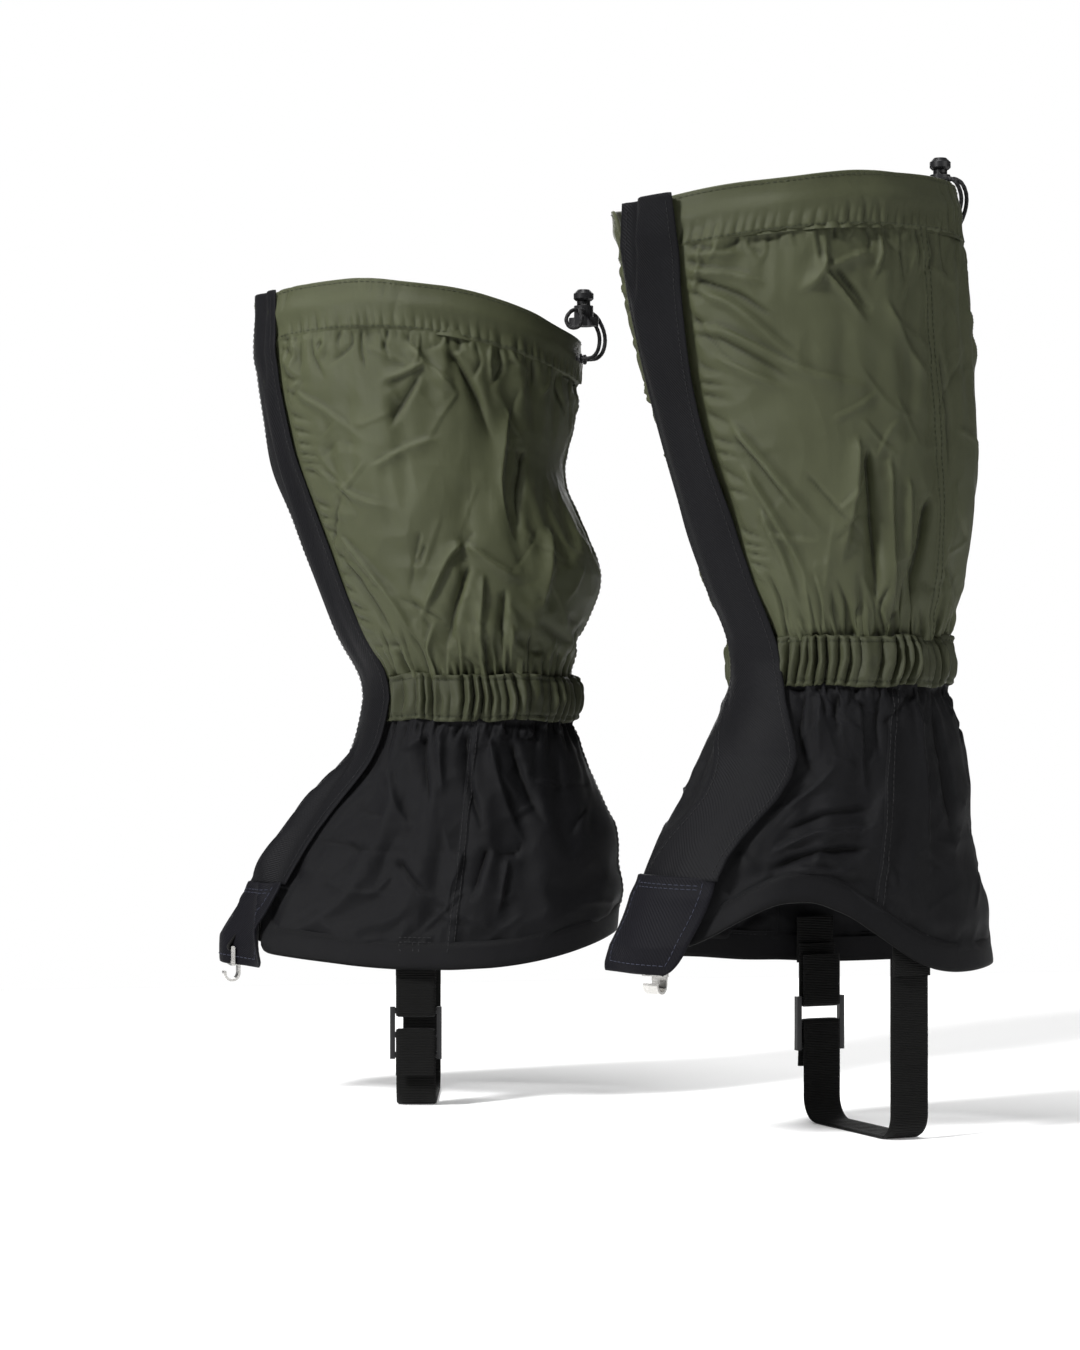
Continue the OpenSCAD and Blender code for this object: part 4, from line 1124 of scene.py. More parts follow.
class Gaiter:
    """Builds the looks of one gaiter round its CAD."""

    def __init__(self, side, seed):
        self.side, self.seed = side, seed
        self.leg = LEGS[side]
        self.body = side + "_gaiter"
        self.shells = {k: SHELLS[side, k] for k in ("upper", "skirt")}
        self.flap_rows = self.leg.edges(side + "_front_flap", side + "_lower_flap")
        seen = (-20, 160) if side == "left" else (-180, 0)
        self.upper = self.folded("upper", more_folds(seed, 54, 60, 90, seen))
        self.skirt = self.folded("skirt", more_folds(seed + 7, 0, 44, 46, seen))
        self.green = Threads()
        self.black = Threads()

    def node(self, piece):
        return self.side + "_" + piece

    def folded(self, part, extra):
        """The cloth with its folds: each is a crest or a valley that runs along a line and dies away."""
        grid = Grid(CLOTH[self.side, part], self.leg.flip).finer()
        flat = grid.p.reshape(-1, 3)
        normal = grid.n.reshape(-1, 3)
        total = np.zeros(len(flat))
        for tall, wide, run in FOLDS[self.side, part] + extra:
            run = np.array(run, float)
            t = np.linspace(0, 1, 15)
            knots = np.linspace(0, 1, len(run))
            theta, v = np.interp(t, knots, run[:, 0]), np.interp(t, knots, run[:, 1])
            u = self.u_of(part, theta, np.clip(v, 0, 1))
            line = grid.at(smooth_open(u, 1.2, 0), smooth_open(v, 1.2, 0))
            w = FOLD_WIDTH * wide * MM
            near = np.flatnonzero(((flat > line.min(0) - 4 * w) & (flat < line.max(0) + 4 * w)).all(1))
            if not len(near):
                continue
            p, n = flat[near], normal[near]
            best = np.full(len(near), np.inf)
            along, side = np.zeros(len(near)), np.ones(len(near))
            for k in range(len(line) - 1):
                a, b = line[k], line[k + 1]
                d = b - a
                f = np.clip(((p - a) @ d) / (d @ d + 1e-12), 0, 1)
                off = p - a - f[:, None] * d
                far = np.linalg.norm(off, axis=1)
                closer = far < best
                best = np.where(closer, far, best)
                along = np.where(closer, (k + f) / (len(line) - 1), along)
                side = np.where(closer, np.sign(np.einsum("ij,ij->i", np.cross(d, n), off)), side)
            spread = w * (1 + 0.35 * side) * (0.7 + 0.5 * along)
            shape = np.exp(-((best / spread) ** 1.25)) - 0.34 * np.exp(-((best / (2.3 * spread)) ** 2))
            tall = tall * MM * (CREST if tall > 0 else VALLEY)
            total[near] += tall * shape * ease(along / 0.16) * ease((1 - along) / 0.4)
        nu, nv = grid.p.shape[:2]
        height = total.reshape(nu, nv)
        v = np.linspace(0, 1, nv)[None, :]
        seed = self.seed + (60 if part == "upper" else 80)
        # fine crinkles, sharp along their crests
        for k, (across, up, tall) in enumerate([(5, 7, 0.00035), (9, 4, 0.0003), (16, 12, 0.0006)]):
            height = height + tall * (0.8 - np.abs(field(seed + k, (nu, nv), (across, up))))
        # puckers at the stitched ends
        u = np.linspace(0, 1, nu)[:, None]
        long = UPPER_LONG - 0.02 if part == "upper" else 0.11
        pucker = wave_abs(88 * u + 0.5 * wander(seed + 9, nu, 8)[:, None])
        height = height + 0.0005 * pucker * np.exp(-(((1 - v) * long / 0.007) ** 2))
        # scallops beside the flap, and quiet under it
        a, b = strip_edges(self.flap_rows, self.leg.local(grid.p)[..., 2])
        first = self.shells[part].theta[0]
        theta = np.interp(v, np.linspace(0, 1, len(first)), first) + ROUND * u
        outside = np.minimum(theta - b, a + 360 - theta)
        if part == "upper":
            pucker = wave_abs(64 * u + 0.5 * wander(seed + 8, nu, 9)[:, None])
            height = height + 0.0009 * pucker * np.exp(-((v * long / 0.009) ** 2))
            scallop = wave_abs(21 * v + 0.06 * outside + 0.35 * wander(seed + 10, nv, 5)[None, :])
            height = height + 0.0010 * scallop * np.exp(-(((outside - 3) / 6) ** 2)) * ease((v - 0.1) / 0.1)
        height = height * (0.08 + 0.92 * ease((outside - 0.5) / 3.5))
        height = height * ease(v / 0.03 + 0.35) * ease((1 - v) / 0.035 + 0.12)
        return Grid(grid.p + grid.n * height[..., None], self.leg.flip)

    def ride(self, obj, slot, *nodes, body=None):
        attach(obj, body or self.body)
        if nodes:
            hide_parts(*[self.node(n) for n in nodes])
        return obj

    def u_of(self, part, theta, v):
        """u on a cloth grid at an angle."""
        shell = self.shells[part]
        j = np.clip(np.asarray(v, float) * (shell.nv - 1), 0, shell.nv - 1)
        first = np.interp(j, np.arange(shell.nv), shell.theta[0])
        return ((np.asarray(theta, float) - first) % 360) / ROUND

    def cloth(self, piece, points, material, thick=0.0):
        return cloth_piece(self.node(piece), points, MATS[material], self.leg.flip, thick)

    def skin_z(self, theta, z, out=0.0):
        """The skin at a height; below the hem it hangs straight down."""
        leg = self.leg
        theta, z, out = np.broadcast_arrays(*(np.asarray(a, float) for a in (theta, z, out)))
        level = leg.level_at(theta, z)
        kept = np.clip(level, 0, 2)
        q = leg.skin_local(theta, kept, out)
        base = leg.skin_local(theta, kept, 0.0)
        q[..., 2] += np.where((level < 0) | (level > 2), z - base[..., 2], 0)
        return leg.world(q)

    # -- shell
    def panels(self):
        """The shell's cloths, each cut from the folded grid between two seams."""
        for part, name, start, end, node in PANELS:
            grid = getattr(self, part)
            n = grid.p.shape[0]
            i, j = 0, n - 1
            if start:
                i = int(round(float(self.u_of(part, start, 0.5)) * (n - 1)))
            if end < 360:
                j = int(round(float(self.u_of(part, end, 0.5)) * (n - 1)))
            p = grid.p[i : j + 1]
            obj = self.cloth(name, p, "shell" if part == "upper" else "skirt")
            self.ride(obj, "shell_cloth" if part == "upper" else "skirt_cloth", node)
            self.node("strap_anchor")

    def seams(self):
        """Felled seams: a narrow raised strip with two rows of stitches."""
        for k, (part, theta) in enumerate(SEAMS):
            grid = getattr(self, part)
            upper = part == "upper"
            v = np.linspace(0, 1, 120)
            u = self.u_of(part, theta, v)
            around = np.linalg.norm(np.diff(grid.p[:, grid.p.shape[1] // 2], axis=0), axis=1).sum()
            w = np.linspace(-1, 1, 9)
            lift = 0.0007 * (1 - np.abs(w) ** 3)[:, None] - 0.0001
            pts = grid.at(u[None, :] + w[:, None] * 0.0036 / around, v[None, :], lift)
            obj = self.cloth(f"seam_{k}", pts, "shell" if upper else "skirt")
            self.ride(obj, "shell_cloth" if upper else "skirt_cloth")
            for off in (-0.0019, 0.0019):
                (self.green if upper else self.black).sew(grid, u + off / around, v, 0.00062)

    # -- elastic band
    def sleeve(self):
        leg, n, rows = self.leg, 1000, 28
        u = np.linspace(0, 1, n)
        front = float(np.interp(0, self.flap_rows[:, 0], self.flap_rows[:, 1:].mean(1)))
        theta = front + OPEN_AT + u * ROUND
        t = np.linspace(0, 1, rows)[None, :]
        z = -BAND / 2 - 0.0016 + t * (BAND + 0.0036)
        z = z + 0.0007 * wander(self.seed + 2, n, 14)[:, None] * np.abs(2 * t - 1) ** 2
        phase = 58 * u + 0.62 * wander(self.seed, n, 17)
        lean = 0.8 * wander(self.seed + 1, n, 20)[:, None] * (t - 0.5)
        ridge = wave_abs(phase[:, None] + lean)
        size = np.clip(0.85 + 0.45 * wander(self.seed + 3, n, 9), 0.15, 1.7)[:, None]
        bulge = np.clip(np.sin(math.pi * t), 0, 1) ** 0.55
        rows_of_stitches = sum(np.exp(-(((t - c) / 0.035) ** 2)) for c in (0.1, 0.9))
        out = 0.0010 + 0.0026 * bulge + 0.0025 * ridge * size * (0.4 + 0.6 * bulge)
        out = out - 0.0007 * rows_of_stitches
        out = out + 0.0005 * field(self.seed + 4, (n, rows), (6, 3))
        half = (self.flap_rows[:, 2] - self.flap_rows[:, 1]).mean() / 2
        far = 30 if self.side == "left" else 14
        flat = ease((theta - front - half) / 10) * ease((front + 360 - theta - half) / far)
        out = out * (0.2 + 0.8 * flat[:, None]) + 0.0002
        pts = self.skin_z(theta[:, None], z, out)
        # the ruched sleeve takes the shell's green darkened as painted shade
        self.ride(self.cloth("ankle_sleeve_ruched", pts, "sleeve", 0.0004), "shell_cloth", "ankle_sleeve")
        for v in (0.1, 0.9):
            self.green.sew(Grid(pts, leg.flip), u, np.full(n, v), pitch=2.3 * MM)
        out = 0.0003 + 0.0003 * wave_abs(phase[::8])[:, None]
        tape = self.skin_z(theta[::8, None], np.linspace(-0.0075, 0.008, 8)[None, :], out)
        self.ride(self.cloth("elastic_tape", tape, "elastic"), "elastic", "ankle_elastic")

    # -- hem tunnel at the rim
    def top_hem(self):
        leg, n = self.leg, 620
        u = np.linspace(0, 1, n)
        stitch = STITCH[self.side]
        front = float(np.interp(leg.tops.mean() - 0.01, self.flap_rows[:, 0], self.flap_rows[:, 1:].mean(1)))
        theta = front + OPEN_AT + u * ROUND
        # across the hem: up the outside, over the rim and down inside
        t_out = np.linspace(0, 1, 20)
        level_out = stitch - 0.012 + (2 - stitch + 0.012) * t_out
        cord = np.exp(-(((t_out - 0.56) / 0.17) ** 2))
        out = np.where(t_out < 0.06, -0.0006, 0.0007) + 0.0010 * cord + 0.0003 * t_out
        fold = np.linspace(0, math.pi, 8)[1:]
        inside = np.linspace(0, math.pi, 12)[1:]
        level = np.concatenate([level_out, np.full(len(fold), 2.0), np.linspace(2, stitch - 0.012, 12)[1:]])
        rise = np.concatenate([np.zeros(20), np.sin(fold) * 0.0009, np.zeros(11)])
        out = np.concatenate([out, 0.0002 + 0.001 * np.cos(fold), -0.0008 - 0.0017 * np.sin(inside)])
        rows = len(level)
        pucker = (wave_abs(86 * u + 0.6 * wander(self.seed + 21, n, 10)))[:, None]
        near_stitch = np.exp(-(((np.arange(rows) - 2) / 4.0) ** 2))[None, :]
        on_outside = (np.arange(rows) < 24)[None, :]
        wavy = field(self.seed + 22, (n, rows), (11, 3.5)) * 0.00035
        wavy = wavy + field(self.seed + 23, (n, rows), (26, 9)) * 0.0010
        slant = 46 * u[:, None] + 0.05 * np.minimum(np.arange(rows), 24)[None, :]
        slant = slant + 0.9 * wander(self.seed + 25, n, 16)[:, None]
        wavy = wavy + 0.0006 * wave_abs(slant) * np.clip(field(self.seed + 26, (n, rows), (18, 8)), 0, 1.5)
        total = out[None, :] + 0.00045 * pucker * near_stitch * on_outside
        total = total + wavy * np.clip(np.arange(rows) / 6, 0, 1)[None, :]
        edge = 0.0009 * wander(self.seed + 24, n, 20)[:, None] * (level[None, :] - stitch) / (2 - stitch)
        q = leg.skin_local(theta[:, None], np.broadcast_to(level[None, :], (n, rows)), total)
        # it lies lower under the cord lock, so that the lock can slide down to it
        lock = leg.node_points(self.node("cord_lock_body")).mean(0)
        from_lock = (theta - leg.angle(lock) + 180) % 360 - 180
        under_lock = np.exp(-((from_lock / 18) ** 4))[:, None]
        near_rim = ease((level - 1.6) / 0.3)[None, :]
        q[..., 2] += (rise[None, :] + edge) * (1 - under_lock) - 0.0008 * under_lock * near_rim
        pts = leg.world(q)
        # the hem is sewn to the shell's top edge and follows its waves
        top_edge = self.upper.at(u, 0.998)
        shift = (top_edge - leg.skin(theta, stitch, 0.0))[:, None]
        fade = np.where(np.arange(rows) < 20, 1 - ease((np.arange(rows) - 2) / 9.0), 0.0)
        pts = pts + shift * fade[None, :, None]
        pts[:, 0] = self.upper.at(u, 0.984, -0.0006)
        pts[:, 1] = self.upper.at(u, 0.992, 0.0003)
        self.ride(self.cloth("top_hem_tunnel", pts, "shell"), "shell_cloth", "top_hem")
        for row in (2.0, 18.2):
            self.green.sew(Grid(pts[:, :20], leg.flip), u, np.full(n, row / 19))

    # -- hem at the foot
    def skirt_hem(self):
        leg, n = self.leg, 420
        u = np.linspace(0, 1, n)
        rows_z = np.array([14, 13, 10, 7, 4, 1.5, 0.2, -0.2, 0.2, 2, 5, 9, 12]) * MM
        out = np.array([-0.2, 0.5, 0.6, 0.7, 0.8, 0.8, 0.6, 0, -0.6, -0.8, -0.8, -0.7, -0.5]) * MM
        theta = self.shells["skirt"].theta[0, 0] + u * ROUND
        z = leg.height_of(leg.hems, theta)[:, None] + rows_z[None, :]
        level = leg.level_at(theta[:, None], z)
        wavy = field(self.seed + 41, (n, len(out)), (14, 5)) * 0.0003
        q = leg.skin_local(theta[:, None], np.clip(level, 0, 1), out[None, :] + wavy)
        q[..., 2] += 0.0006 * wander(self.seed + 42, n, 16)[:, None]
        pts = leg.world(q)
        self.ride(self.cloth("skirt_hem_fold", pts, "skirt"), "skirt_cloth", "skirt_hem")
        self.black.sew(Grid(pts[:, :6], leg.flip), u, np.full(n, 1.2 / 5))

    # -- closure
    def flap_out(self, z):
        """How far the flap stands off the skin, by height: it rides over the band and the hem tunnel."""
        top = float(self.leg.tops.mean())
        over_band = 0.6 * np.exp(-((z / 0.017) ** 2))
        over_hem = ease((z - top + 0.034) / 0.012)
        return 0.0030 + 0.0016 * over_band + 0.0012 * over_hem

    def flat_size(self, obj, middle):
        """Width and length of a closed cloth whose middle runs along these points."""
        long = distances(middle)[-1]
        area = sum(f.area for f in obj.data.polygons) / 2
        return (round(area / long, 4), round(long, 4))

    def flap(self):
        leg, s = self.leg, self.side
        rows, cols = 230, 22
        top = max(self.flap_rows[-1, 0] + 0.002, float(leg.tops[0]) + 0.0025)
        z = np.linspace(self.flap_rows[0, 0] - 0.001, top, rows)
        a, b = strip_edges(self.flap_rows, z)
        w = np.linspace(0, 1, cols)
        theta = a[None, :] + (b - a)[None, :] * w[:, None]
        wavy = field(self.seed + 51, (cols, rows), (5, 9), closed=False) * 0.00045
        wavy = wavy + field(self.seed + 52, (cols, rows), (12, 24), closed=False) * 0.0006
        lip = 0.0007 * (w[:, None] ** 6) * (1 + wander(self.seed + 53, rows, 12)[None, :])
        out = self.flap_out(z)[None, :] + wavy + lip - 0.0012 * (1 - w[:, None]) ** 4
        pts = self.skin_z(theta, z[None, :], np.maximum(out, 0.0022))
        obj = self.cloth("flap", pts, "flap", 0.0011)
        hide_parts(self.node("front_flap"), self.node("lower_flap"))
        grid = Grid(pts, leg.flip)
        threads = Threads()
        for off in (0.07, 0.93):
            threads.sew(grid, np.full(400, off), np.linspace(0.01, 0.992, 400), 0.00012)
        stitches = threads.made(self.node("flap_stitches"), MATS["thread_black"])
        # the hook strip under the flap and the loop strip on the shell
        hook = leg.edges(self.node("flap_hook_strip"))
        hz = np.linspace(hook[0, 0] + 0.001, hook[-1, 0], 150)
        ha, hb = strip_edges(hook, hz)
        hw = np.linspace(0, 1, 10)
        theta = ha[None, :] + (hb - ha)[None, :] * hw[:, None]
        pts = self.skin_z(theta, hz[None, :], self.flap_out(hz)[None, :] - 0.0019)
        hooks = self.cloth("hook_strip", pts, "hook_tape", 0.0005)
        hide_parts(self.node("flap_hook_strip"))
        split = float(min(leg.node_points(self.node("front_flap"))[:, 2]))
        start = leg.world(np.array([0, 0, split + 0.001]))
        end = leg.world(np.array([0, 0, split + 0.075]))
        for o in (obj, stitches, hooks):
            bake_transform(o)
        flat, loops = self.flat_size(obj, grid.p[11]), self.node("front_loop_strip")
        loop = leg.edges(self.node("front_loop_strip"))
        lz = np.linspace(loop[0, 0] + 0.001, loop[-1, 0], 200)
        la, lb = strip_edges(loop, lz)
        over_band = 0.0026 * np.exp(-((lz / 0.014) ** 4))
        over_hem = 0.0022 * ease((lz - float(leg.tops.mean()) + 0.032) / 0.008)
        theta = la[None, :] + (lb - la)[None, :] * hw[:, None]
        pts = self.skin_z(theta, lz[None, :], (0.0011 + over_band * 0.4 + over_hem * 0.4)[None, :])
        self.ride(self.cloth("loop_strip", pts, "loop_tape", 0.0008), "hook_and_loop", "front_loop_strip")

    def tab(self):
        leg, s = self.leg, self.side
        q = leg.node_points(self.node("flap_tab"))
        rows = leg.edges(self.node("flap_tab"))
        high, low = float(q[:, 2].max()), float(q[:, 2].min())
        n, cols = 60, 34
        z = np.linspace(low + 0.0005, high + 0.004, n)
        a, b = strip_edges(rows, z)
        w = np.linspace(-1, 1, cols)
        # rounded lower corners
        d = np.clip((low + 0.016 - z) / 0.016, 0, 1)
        wide = 1 - 0.45 * (1 - np.sqrt(np.clip(1 - d**2, 0, 1)))
        wide = wide * (0.9 + 0.1 * ease((z - low) / (high - low)))
        mid, half = (a + b) / 2, (b - a) / 2
        mid = mid - np.clip(0.35 * mid.mean(), -2, 4.5) * ease((high - z) / (high - low))
        theta = mid[None, :] + half[None, :] * wide[None, :] * w[:, None]
        droop = ease((float(leg.hems[0]) + 0.02 - z) / 0.03)
        out = 0.0052 + 0.0006 * field(self.seed + 61, (cols, n), (9, 12), closed=False)
        out = out + 0.0022 * droop[None, :] - 0.0012 * ease((z - high + 0.006) / 0.008)[None, :]
        obj = self.cloth("tab", self.skin_z(theta, z[None, :], out), "tab", 0.0014)
        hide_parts(self.node("flap_tab"))
        grid = Grid(self.skin_z(theta, z[None, :], out), leg.flip)
        threads = Threads()
        for off in (0.11, 0.89):
            threads.sew(grid, np.full(120, off), np.linspace(0.09, 0.97, 120), 0.00012)
        for v, from_side in ((0.09, 0.11), (0.885, 0.14), (0.925, 0.14)):
            threads.sew(grid, np.linspace(from_side, 1 - from_side, 60), np.full(60, v), 0.00012)
        stitches = threads.made(self.node("tab_stitches"), MATS["thread_blue"])
        patch = leg.node_points(self.node("tab_patch"))[:, 2]
        pz = np.linspace(patch.min(), patch.max(), 30)
        pa, pb = strip_edges(leg.edges(self.node("tab_patch")), pz)
        pw = np.linspace(0, 1, 14)
        pts = self.skin_z(pa[None, :] + (pb - pa)[None, :] * pw[:, None], pz[None, :], 0.0030)
        hooks = self.cloth("tab_hooks", pts, "hook_tape", 0.0007)
        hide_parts(self.node("tab_patch"))
        start = leg.world(np.array([0, 0, high + 0.003]))
        end = leg.world(np.array([0, 0, patch.max() - 0.004]))
        for o in (obj, stitches, hooks):
            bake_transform(o)
        self.node("tab_patch")

    # -- drawcord
    def drawcord(self):
        leg, s = self.leg, self.side
        body = leg.node_points(self.node("cord_lock_body"))
        low = body[:, 2].min()
        wings = body[body[:, 2] < low + 0.004][:, :2]
        # the clip's own axes: across its wings, and out from the leg
        vectors = np.linalg.eigh(np.cov((wings - wings.mean(0)).T))[1]
        centre = np.array([0.0, float(leg.centre_y(low))])
        out = vectors[:, 1] * (1 if vectors[:, 1] @ (wings.mean(0) - centre) > 0 else -1)
        button = leg.node_points(self.node("cord_lock_button"))
        axis = (button[:, :2].max(0) + button[:, :2].min(0)) / 2
        origin = np.array([axis[0], axis[1], low + 7.5 * MM])
        ex, ey = np.array([out[1], -out[0], 0]), np.array([out[0], out[1], 0])
        eyelets = leg.node_points(self.node("cord_eyelets")) - origin
        hole = float((eyelets @ ey).mean()) - 0.0022
        route = [
            [3, 4, -24], [3.2, 6.6, -23.2], [4.4, 8.4, -20.8], [6.8, 8.8, -17],
            [9.6, 8, -13], [12, 6.4, -9], [13, 4.6, -5.4], [12.2, 2.8, -2], [9, 1.3, 0],
            [4.5, 1.3, 0], [0, 1.3, 0], [-4.5, 1.3, 0], [-9, 1.6, 0], [-12.2, 2.8, -1.6],
            [-13.6, 4.2, -5], [-13.4, 3, -8.4], [-13.4, 0, -9.6], [-13.4, -3, -8.4], [-13.6, -4.2, -5],
            [-12.2, -2.8, -1.6], [-9, -1.6, 0], [-4.5, -1.3, 0], [0, -1.3, 0], [4.5, -1.3, 0],
            [9, -1.3, 0], [12, -0.4, -2], [12.6, 1.6, -5.6], [11.2, 3.8, -9.4], [8.6, 5.4, -13],
            [5.4, 6.4, -16.6], [2, 6.8, -20], [-1, 6.2, -22.6], [-3, 4.4, -24],
        ]
        route = np.array([[3, hole / MM, -24]] + route + [[-3, hole / MM, -24]]) * MM
        path = curve_through(origin + route @ np.array([ex, ey, UP]), 0.0004)
        path = leg.world(path)
        obj = tube(self.node("drawcord_loop_braided"), path, 0.001, MATS["cord"], 16, 0.07)
        start, end = (leg.world(origin + z * UP) for z in (-0.021, -0.0055))
        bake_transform(obj)
        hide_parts(self.node("drawcord_loop"))
        [NODES[self.node(n)] for n in ("cord_lock_body", "cord_lock_button", "cord_eyelets")]
        # the cord inside the hem, from the closure to the lock on both sides
        lock = float(leg.angle(origin)) % 360
        first, last = self.flap_rows[-1, 2] + 2, self.flap_rows[-1, 1] + 358
        for k, (a, b) in enumerate(((first, lock - 4), (lock + 4, last))):
            t = np.linspace(a, b, 260)
            line = self.skin_z(t, leg.height_of(leg.tops, t) - 0.012, -0.0008)
            run = tube(f"{s}_drawcord_run_{k}", line, 0.00085, MATS["cord"], 8, 0.05)
            self.ride(run, "cord", *(["drawcord"] if k == 0 else []))

    # -- webbing
    def straps(self):
        leg, s = self.leg, self.side
        names = ("instep_strap", "strap_anchor", "strap_loop", "strap_tail")
        strap, anchor, loop, tail = (leg.node_points(self.node(n)) for n in names)
        t = 0.0016  # the webbing's thickness
        (_, y0, z0), (x1, y1, _) = strap.min(0), strap.max(0)
        y, width = float(y0 + y1) / 2, float(y1 - y0) - 0.0002
        xo, zb = x1 - t / 2, z0 + t / 2
        low, top = anchor[:, 2].min(), anchor[:, 2].max()
        pivot = loop[:, 2].max() - width / 2
        # the inner run goes up, turns over the buckle's bar and hangs down behind it
        inner = strap[(strap[:, 2] > zb + 0.02) & (strap[:, 0] < 0)]
        bar_x = (inner[:, 0].min() + inner[:, 0].max()) / 2
        wrap = (inner[:, 0].max() - inner[:, 0].min()) / 2 - t / 2
        wrap_top = inner[:, 2].max() - t / 2
        xi = bar_x + wrap
        r = 0.0112
        quarter = np.linspace(0, math.pi / 2, 9)[1:-1]
        path = [[xo, z] for z in np.linspace(pivot + 0.006, zb + r, 14)]
        path += [[xo - r + r * math.cos(a), zb + r - r * math.sin(a)] for a in quarter]
        path += [[x, zb] for x in np.linspace(xo - r, xi + r, 12)]
        path += [[xi + r - r * math.sin(a), zb + r - r * math.cos(a)] for a in quarter]
        path += [[xi, z] for z in np.linspace(zb + r, wrap_top - wrap, 10)]
        half = np.linspace(0, math.pi, 9)[1:]
        path += [[bar_x + wrap * math.cos(a), wrap_top - wrap + wrap * math.sin(a)] for a in half]
        hanging = np.linspace(wrap_top - wrap - 0.003, tail[:, 2].min(), 7)
        path += [[bar_x - wrap - 0.0002 * k, z] for k, z in enumerate(hanging)]
        obj = ribbon(self.node("instep_webbing"), leg, path, y, width, t, MATS["webbing"])
        self.ride(obj, "webbing", "instep_strap", "strap_tail", body=s + "_strap")
        # the loop that holds the buckle's upper bar
        bars_top = loop[:, 2].min() + t / 2
        lx0 = loop[:, 0].min() + t / 2
        lx1 = loop[loop[:, 2] < bars_top + 0.004][:, 0].max() - t / 2
        wrap, mid = (lx1 - lx0) / 2, (lx0 + lx1) / 2
        path = [[lx1, z] for z in np.linspace(pivot + 0.002, bars_top + wrap, 10)]
        path += [[mid + wrap * math.cos(a), bars_top + wrap - wrap * math.sin(a)] for a in half]
        path += [[lx0, z] for z in np.linspace(bars_top + wrap + 0.002, pivot + 0.007, 10)]
        obj = ribbon(self.node("buckle_webbing"), leg, path, y, width, t, MATS["webbing"])
        self.ride(obj, "webbing", "strap_loop", body=s + "_strap")
        for k, x in enumerate((anchor[:, 0].max() - t / 2, anchor[:, 0].min() + t / 2)):
            path = [[x, z] for z in np.linspace(low, top, 8)]
            obj = ribbon(f"{s}_anchor_webbing_{k}", leg, path, y, width, t, MATS["webbing"])
            self.ride(obj, "webbing", *(["strap_anchor"] if k == 0 else []))
        self.anchor_stitches(y, width, low)

    def anchor_stitches(self, y, width, low):
        """Where the webbing is sewn through the skirt: a box and a double T, on the outside."""
        w, bar, foot = width / 2 - 0.0015, 0.0168, 0.0015
        lines = [((-w, bar + 0.0022), (w, bar + 0.0022)), ((-w, bar), (w, bar))]
        lines += [((x, bar), (x, 0.002)) for x in (-foot, foot)]
        lines += [((x, 0.004), (x, bar)) for x in (-w, w)]
        for x in (0.05, -0.05):
            for a, b in lines:
                dy, dz = np.linspace(a, b, 14).T
                q = np.stack([np.full(14, x), y + dy, low + dz], -1)
                theta = self.leg.angle(q)
                start, end = SKIRT_LEVELS
                v = (self.leg.level_at(theta, q[:, 2]) - start) / (end - start)
                u = self.u_of("skirt", theta, v)
                self.black.sew(self.skirt, u, v, 0.0003, pitch=2.2 * MM, radius=0.2 * MM, lift=0.2 * MM)

    def hook_tape(self):
        """The sewn tape that holds the lace hook's bar."""
        leg = self.leg
        q = leg.node_points(self.node("hook_tape"))
        joint = JOINTS[self.node("lace_hook_swing")]
        c = leg.local(np.array(joint["pos_m"], float))
        axis = np.array(joint["axis"], float)
        ax = unit(np.array([axis @ leg.x, axis @ leg.y, 0]))
        out = np.array([ax[1], -ax[0], 0])
        out = -out if out[1] > 0 else out
        top = q[:, 2].max()
        lean = float(((q[q[:, 2] > top - 0.002] - c) @ out).mean())
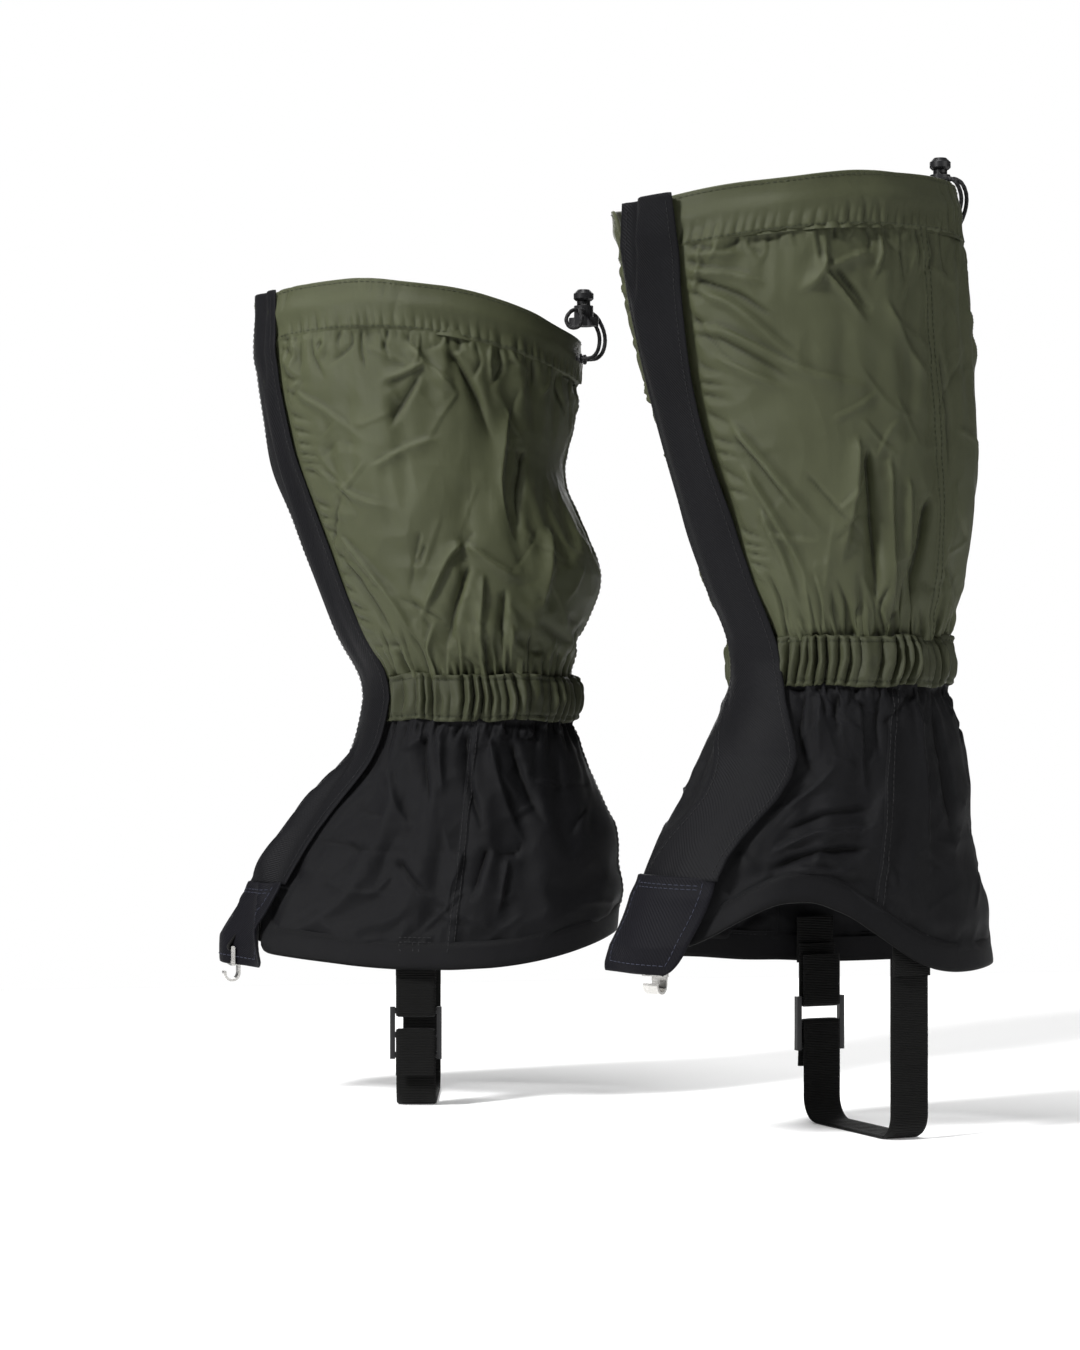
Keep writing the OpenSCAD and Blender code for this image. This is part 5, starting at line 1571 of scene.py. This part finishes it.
        # down the front, round the bar and up the back
        t, wrap = 0.0011, 0.0017
        height = float(top - c[2])
        side = [[lean * k / 8, 0.001 + (height - 0.002) * k / 8] for k in range(9)]
        path = [[wrap + x, z] for x, z in side[::-1]]
        path += [[wrap * math.cos(a), -wrap * math.sin(a)] for a in np.linspace(0, math.pi, 9)[1:-1]]
        path += [[x - wrap, z] for x, z in side]
        p3 = curve_through(np.insert(np.array(path), 1, 0, axis=1), 0.0006)
        tang = unit(np.gradient(p3, axis=0))
        r = p3 + np.stack([tang[:, 2], np.zeros(len(p3)), -tang[:, 0]], -1) * (t / 2)
        pts = [c + x * ax + r[:, :1] * out + r[:, 2:] * UP for x in np.linspace(-0.0043, 0.0043, 9)]
        obj = self.cloth("hook_loop_tape", leg.world(np.array(pts)), "webbing", t)
        self.ride(obj, "webbing", "hook_tape")

    def spring(self):
        """The spring in the cord lock, copied from its CAD coil; the real one shortens as the button is pressed.
        """
        joint = JOINTS[self.node("lock_button_press")]
        axis = unit(np.array(joint["axis"], float))
        travel = max(joint["range_m"], key=abs)
        mesh = NODES[self.node("cord_lock_spring")].data
        points = np.array([v.co for v in mesh.vertices], float)
        along = points @ axis * np.sign(travel)
        faces = [list(f.vertices) for f in mesh.polygons]
        obj = new_mesh(self.node("lock_spring_coil"), points, faces, MATS["steel"])
        obj.data.polygons.foreach_set("use_smooth", [False] * len(mesh.polygons))
        self.ride(obj, "steel", "cord_lock_spring", body=self.side + "_cord_lock")
        fixed_end = tuple(points[along.argmax()])
        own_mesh(obj)

    def hardware(self):
        for piece, mat in (
            ("cord_lock_body", "moulded"), ("cord_lock_button", "moulded"),
            ("cord_eyelets", "grommet"), ("lace_hook", "steel"), ("strap_buckle", "moulded"),
        ):
            mesh = NODES[self.node(piece)].data
            mesh.materials.clear()
            mesh.materials.append(MATS[mat])

    def build(self):
        self.panels()
        self.seams()
        self.sleeve()
        self.top_hem()
        self.skirt_hem()
        self.flap()
        self.tab()
        self.drawcord()
        self.straps()
        self.hook_tape()
        self.spring()
        self.hardware()
        self.ride(self.green.made(self.node("green_stitches"), MATS["thread_green"]), "shell_cloth")
        self.ride(self.black.made(self.node("black_stitches"), MATS["thread_black"]), "skirt_cloth")


add_camera()
add_studio()
for k, side in enumerate(LEGS):
    Gaiter(side, 100 + 100 * k).build()

bpy.context.scene.view_settings.view_transform = "Standard"
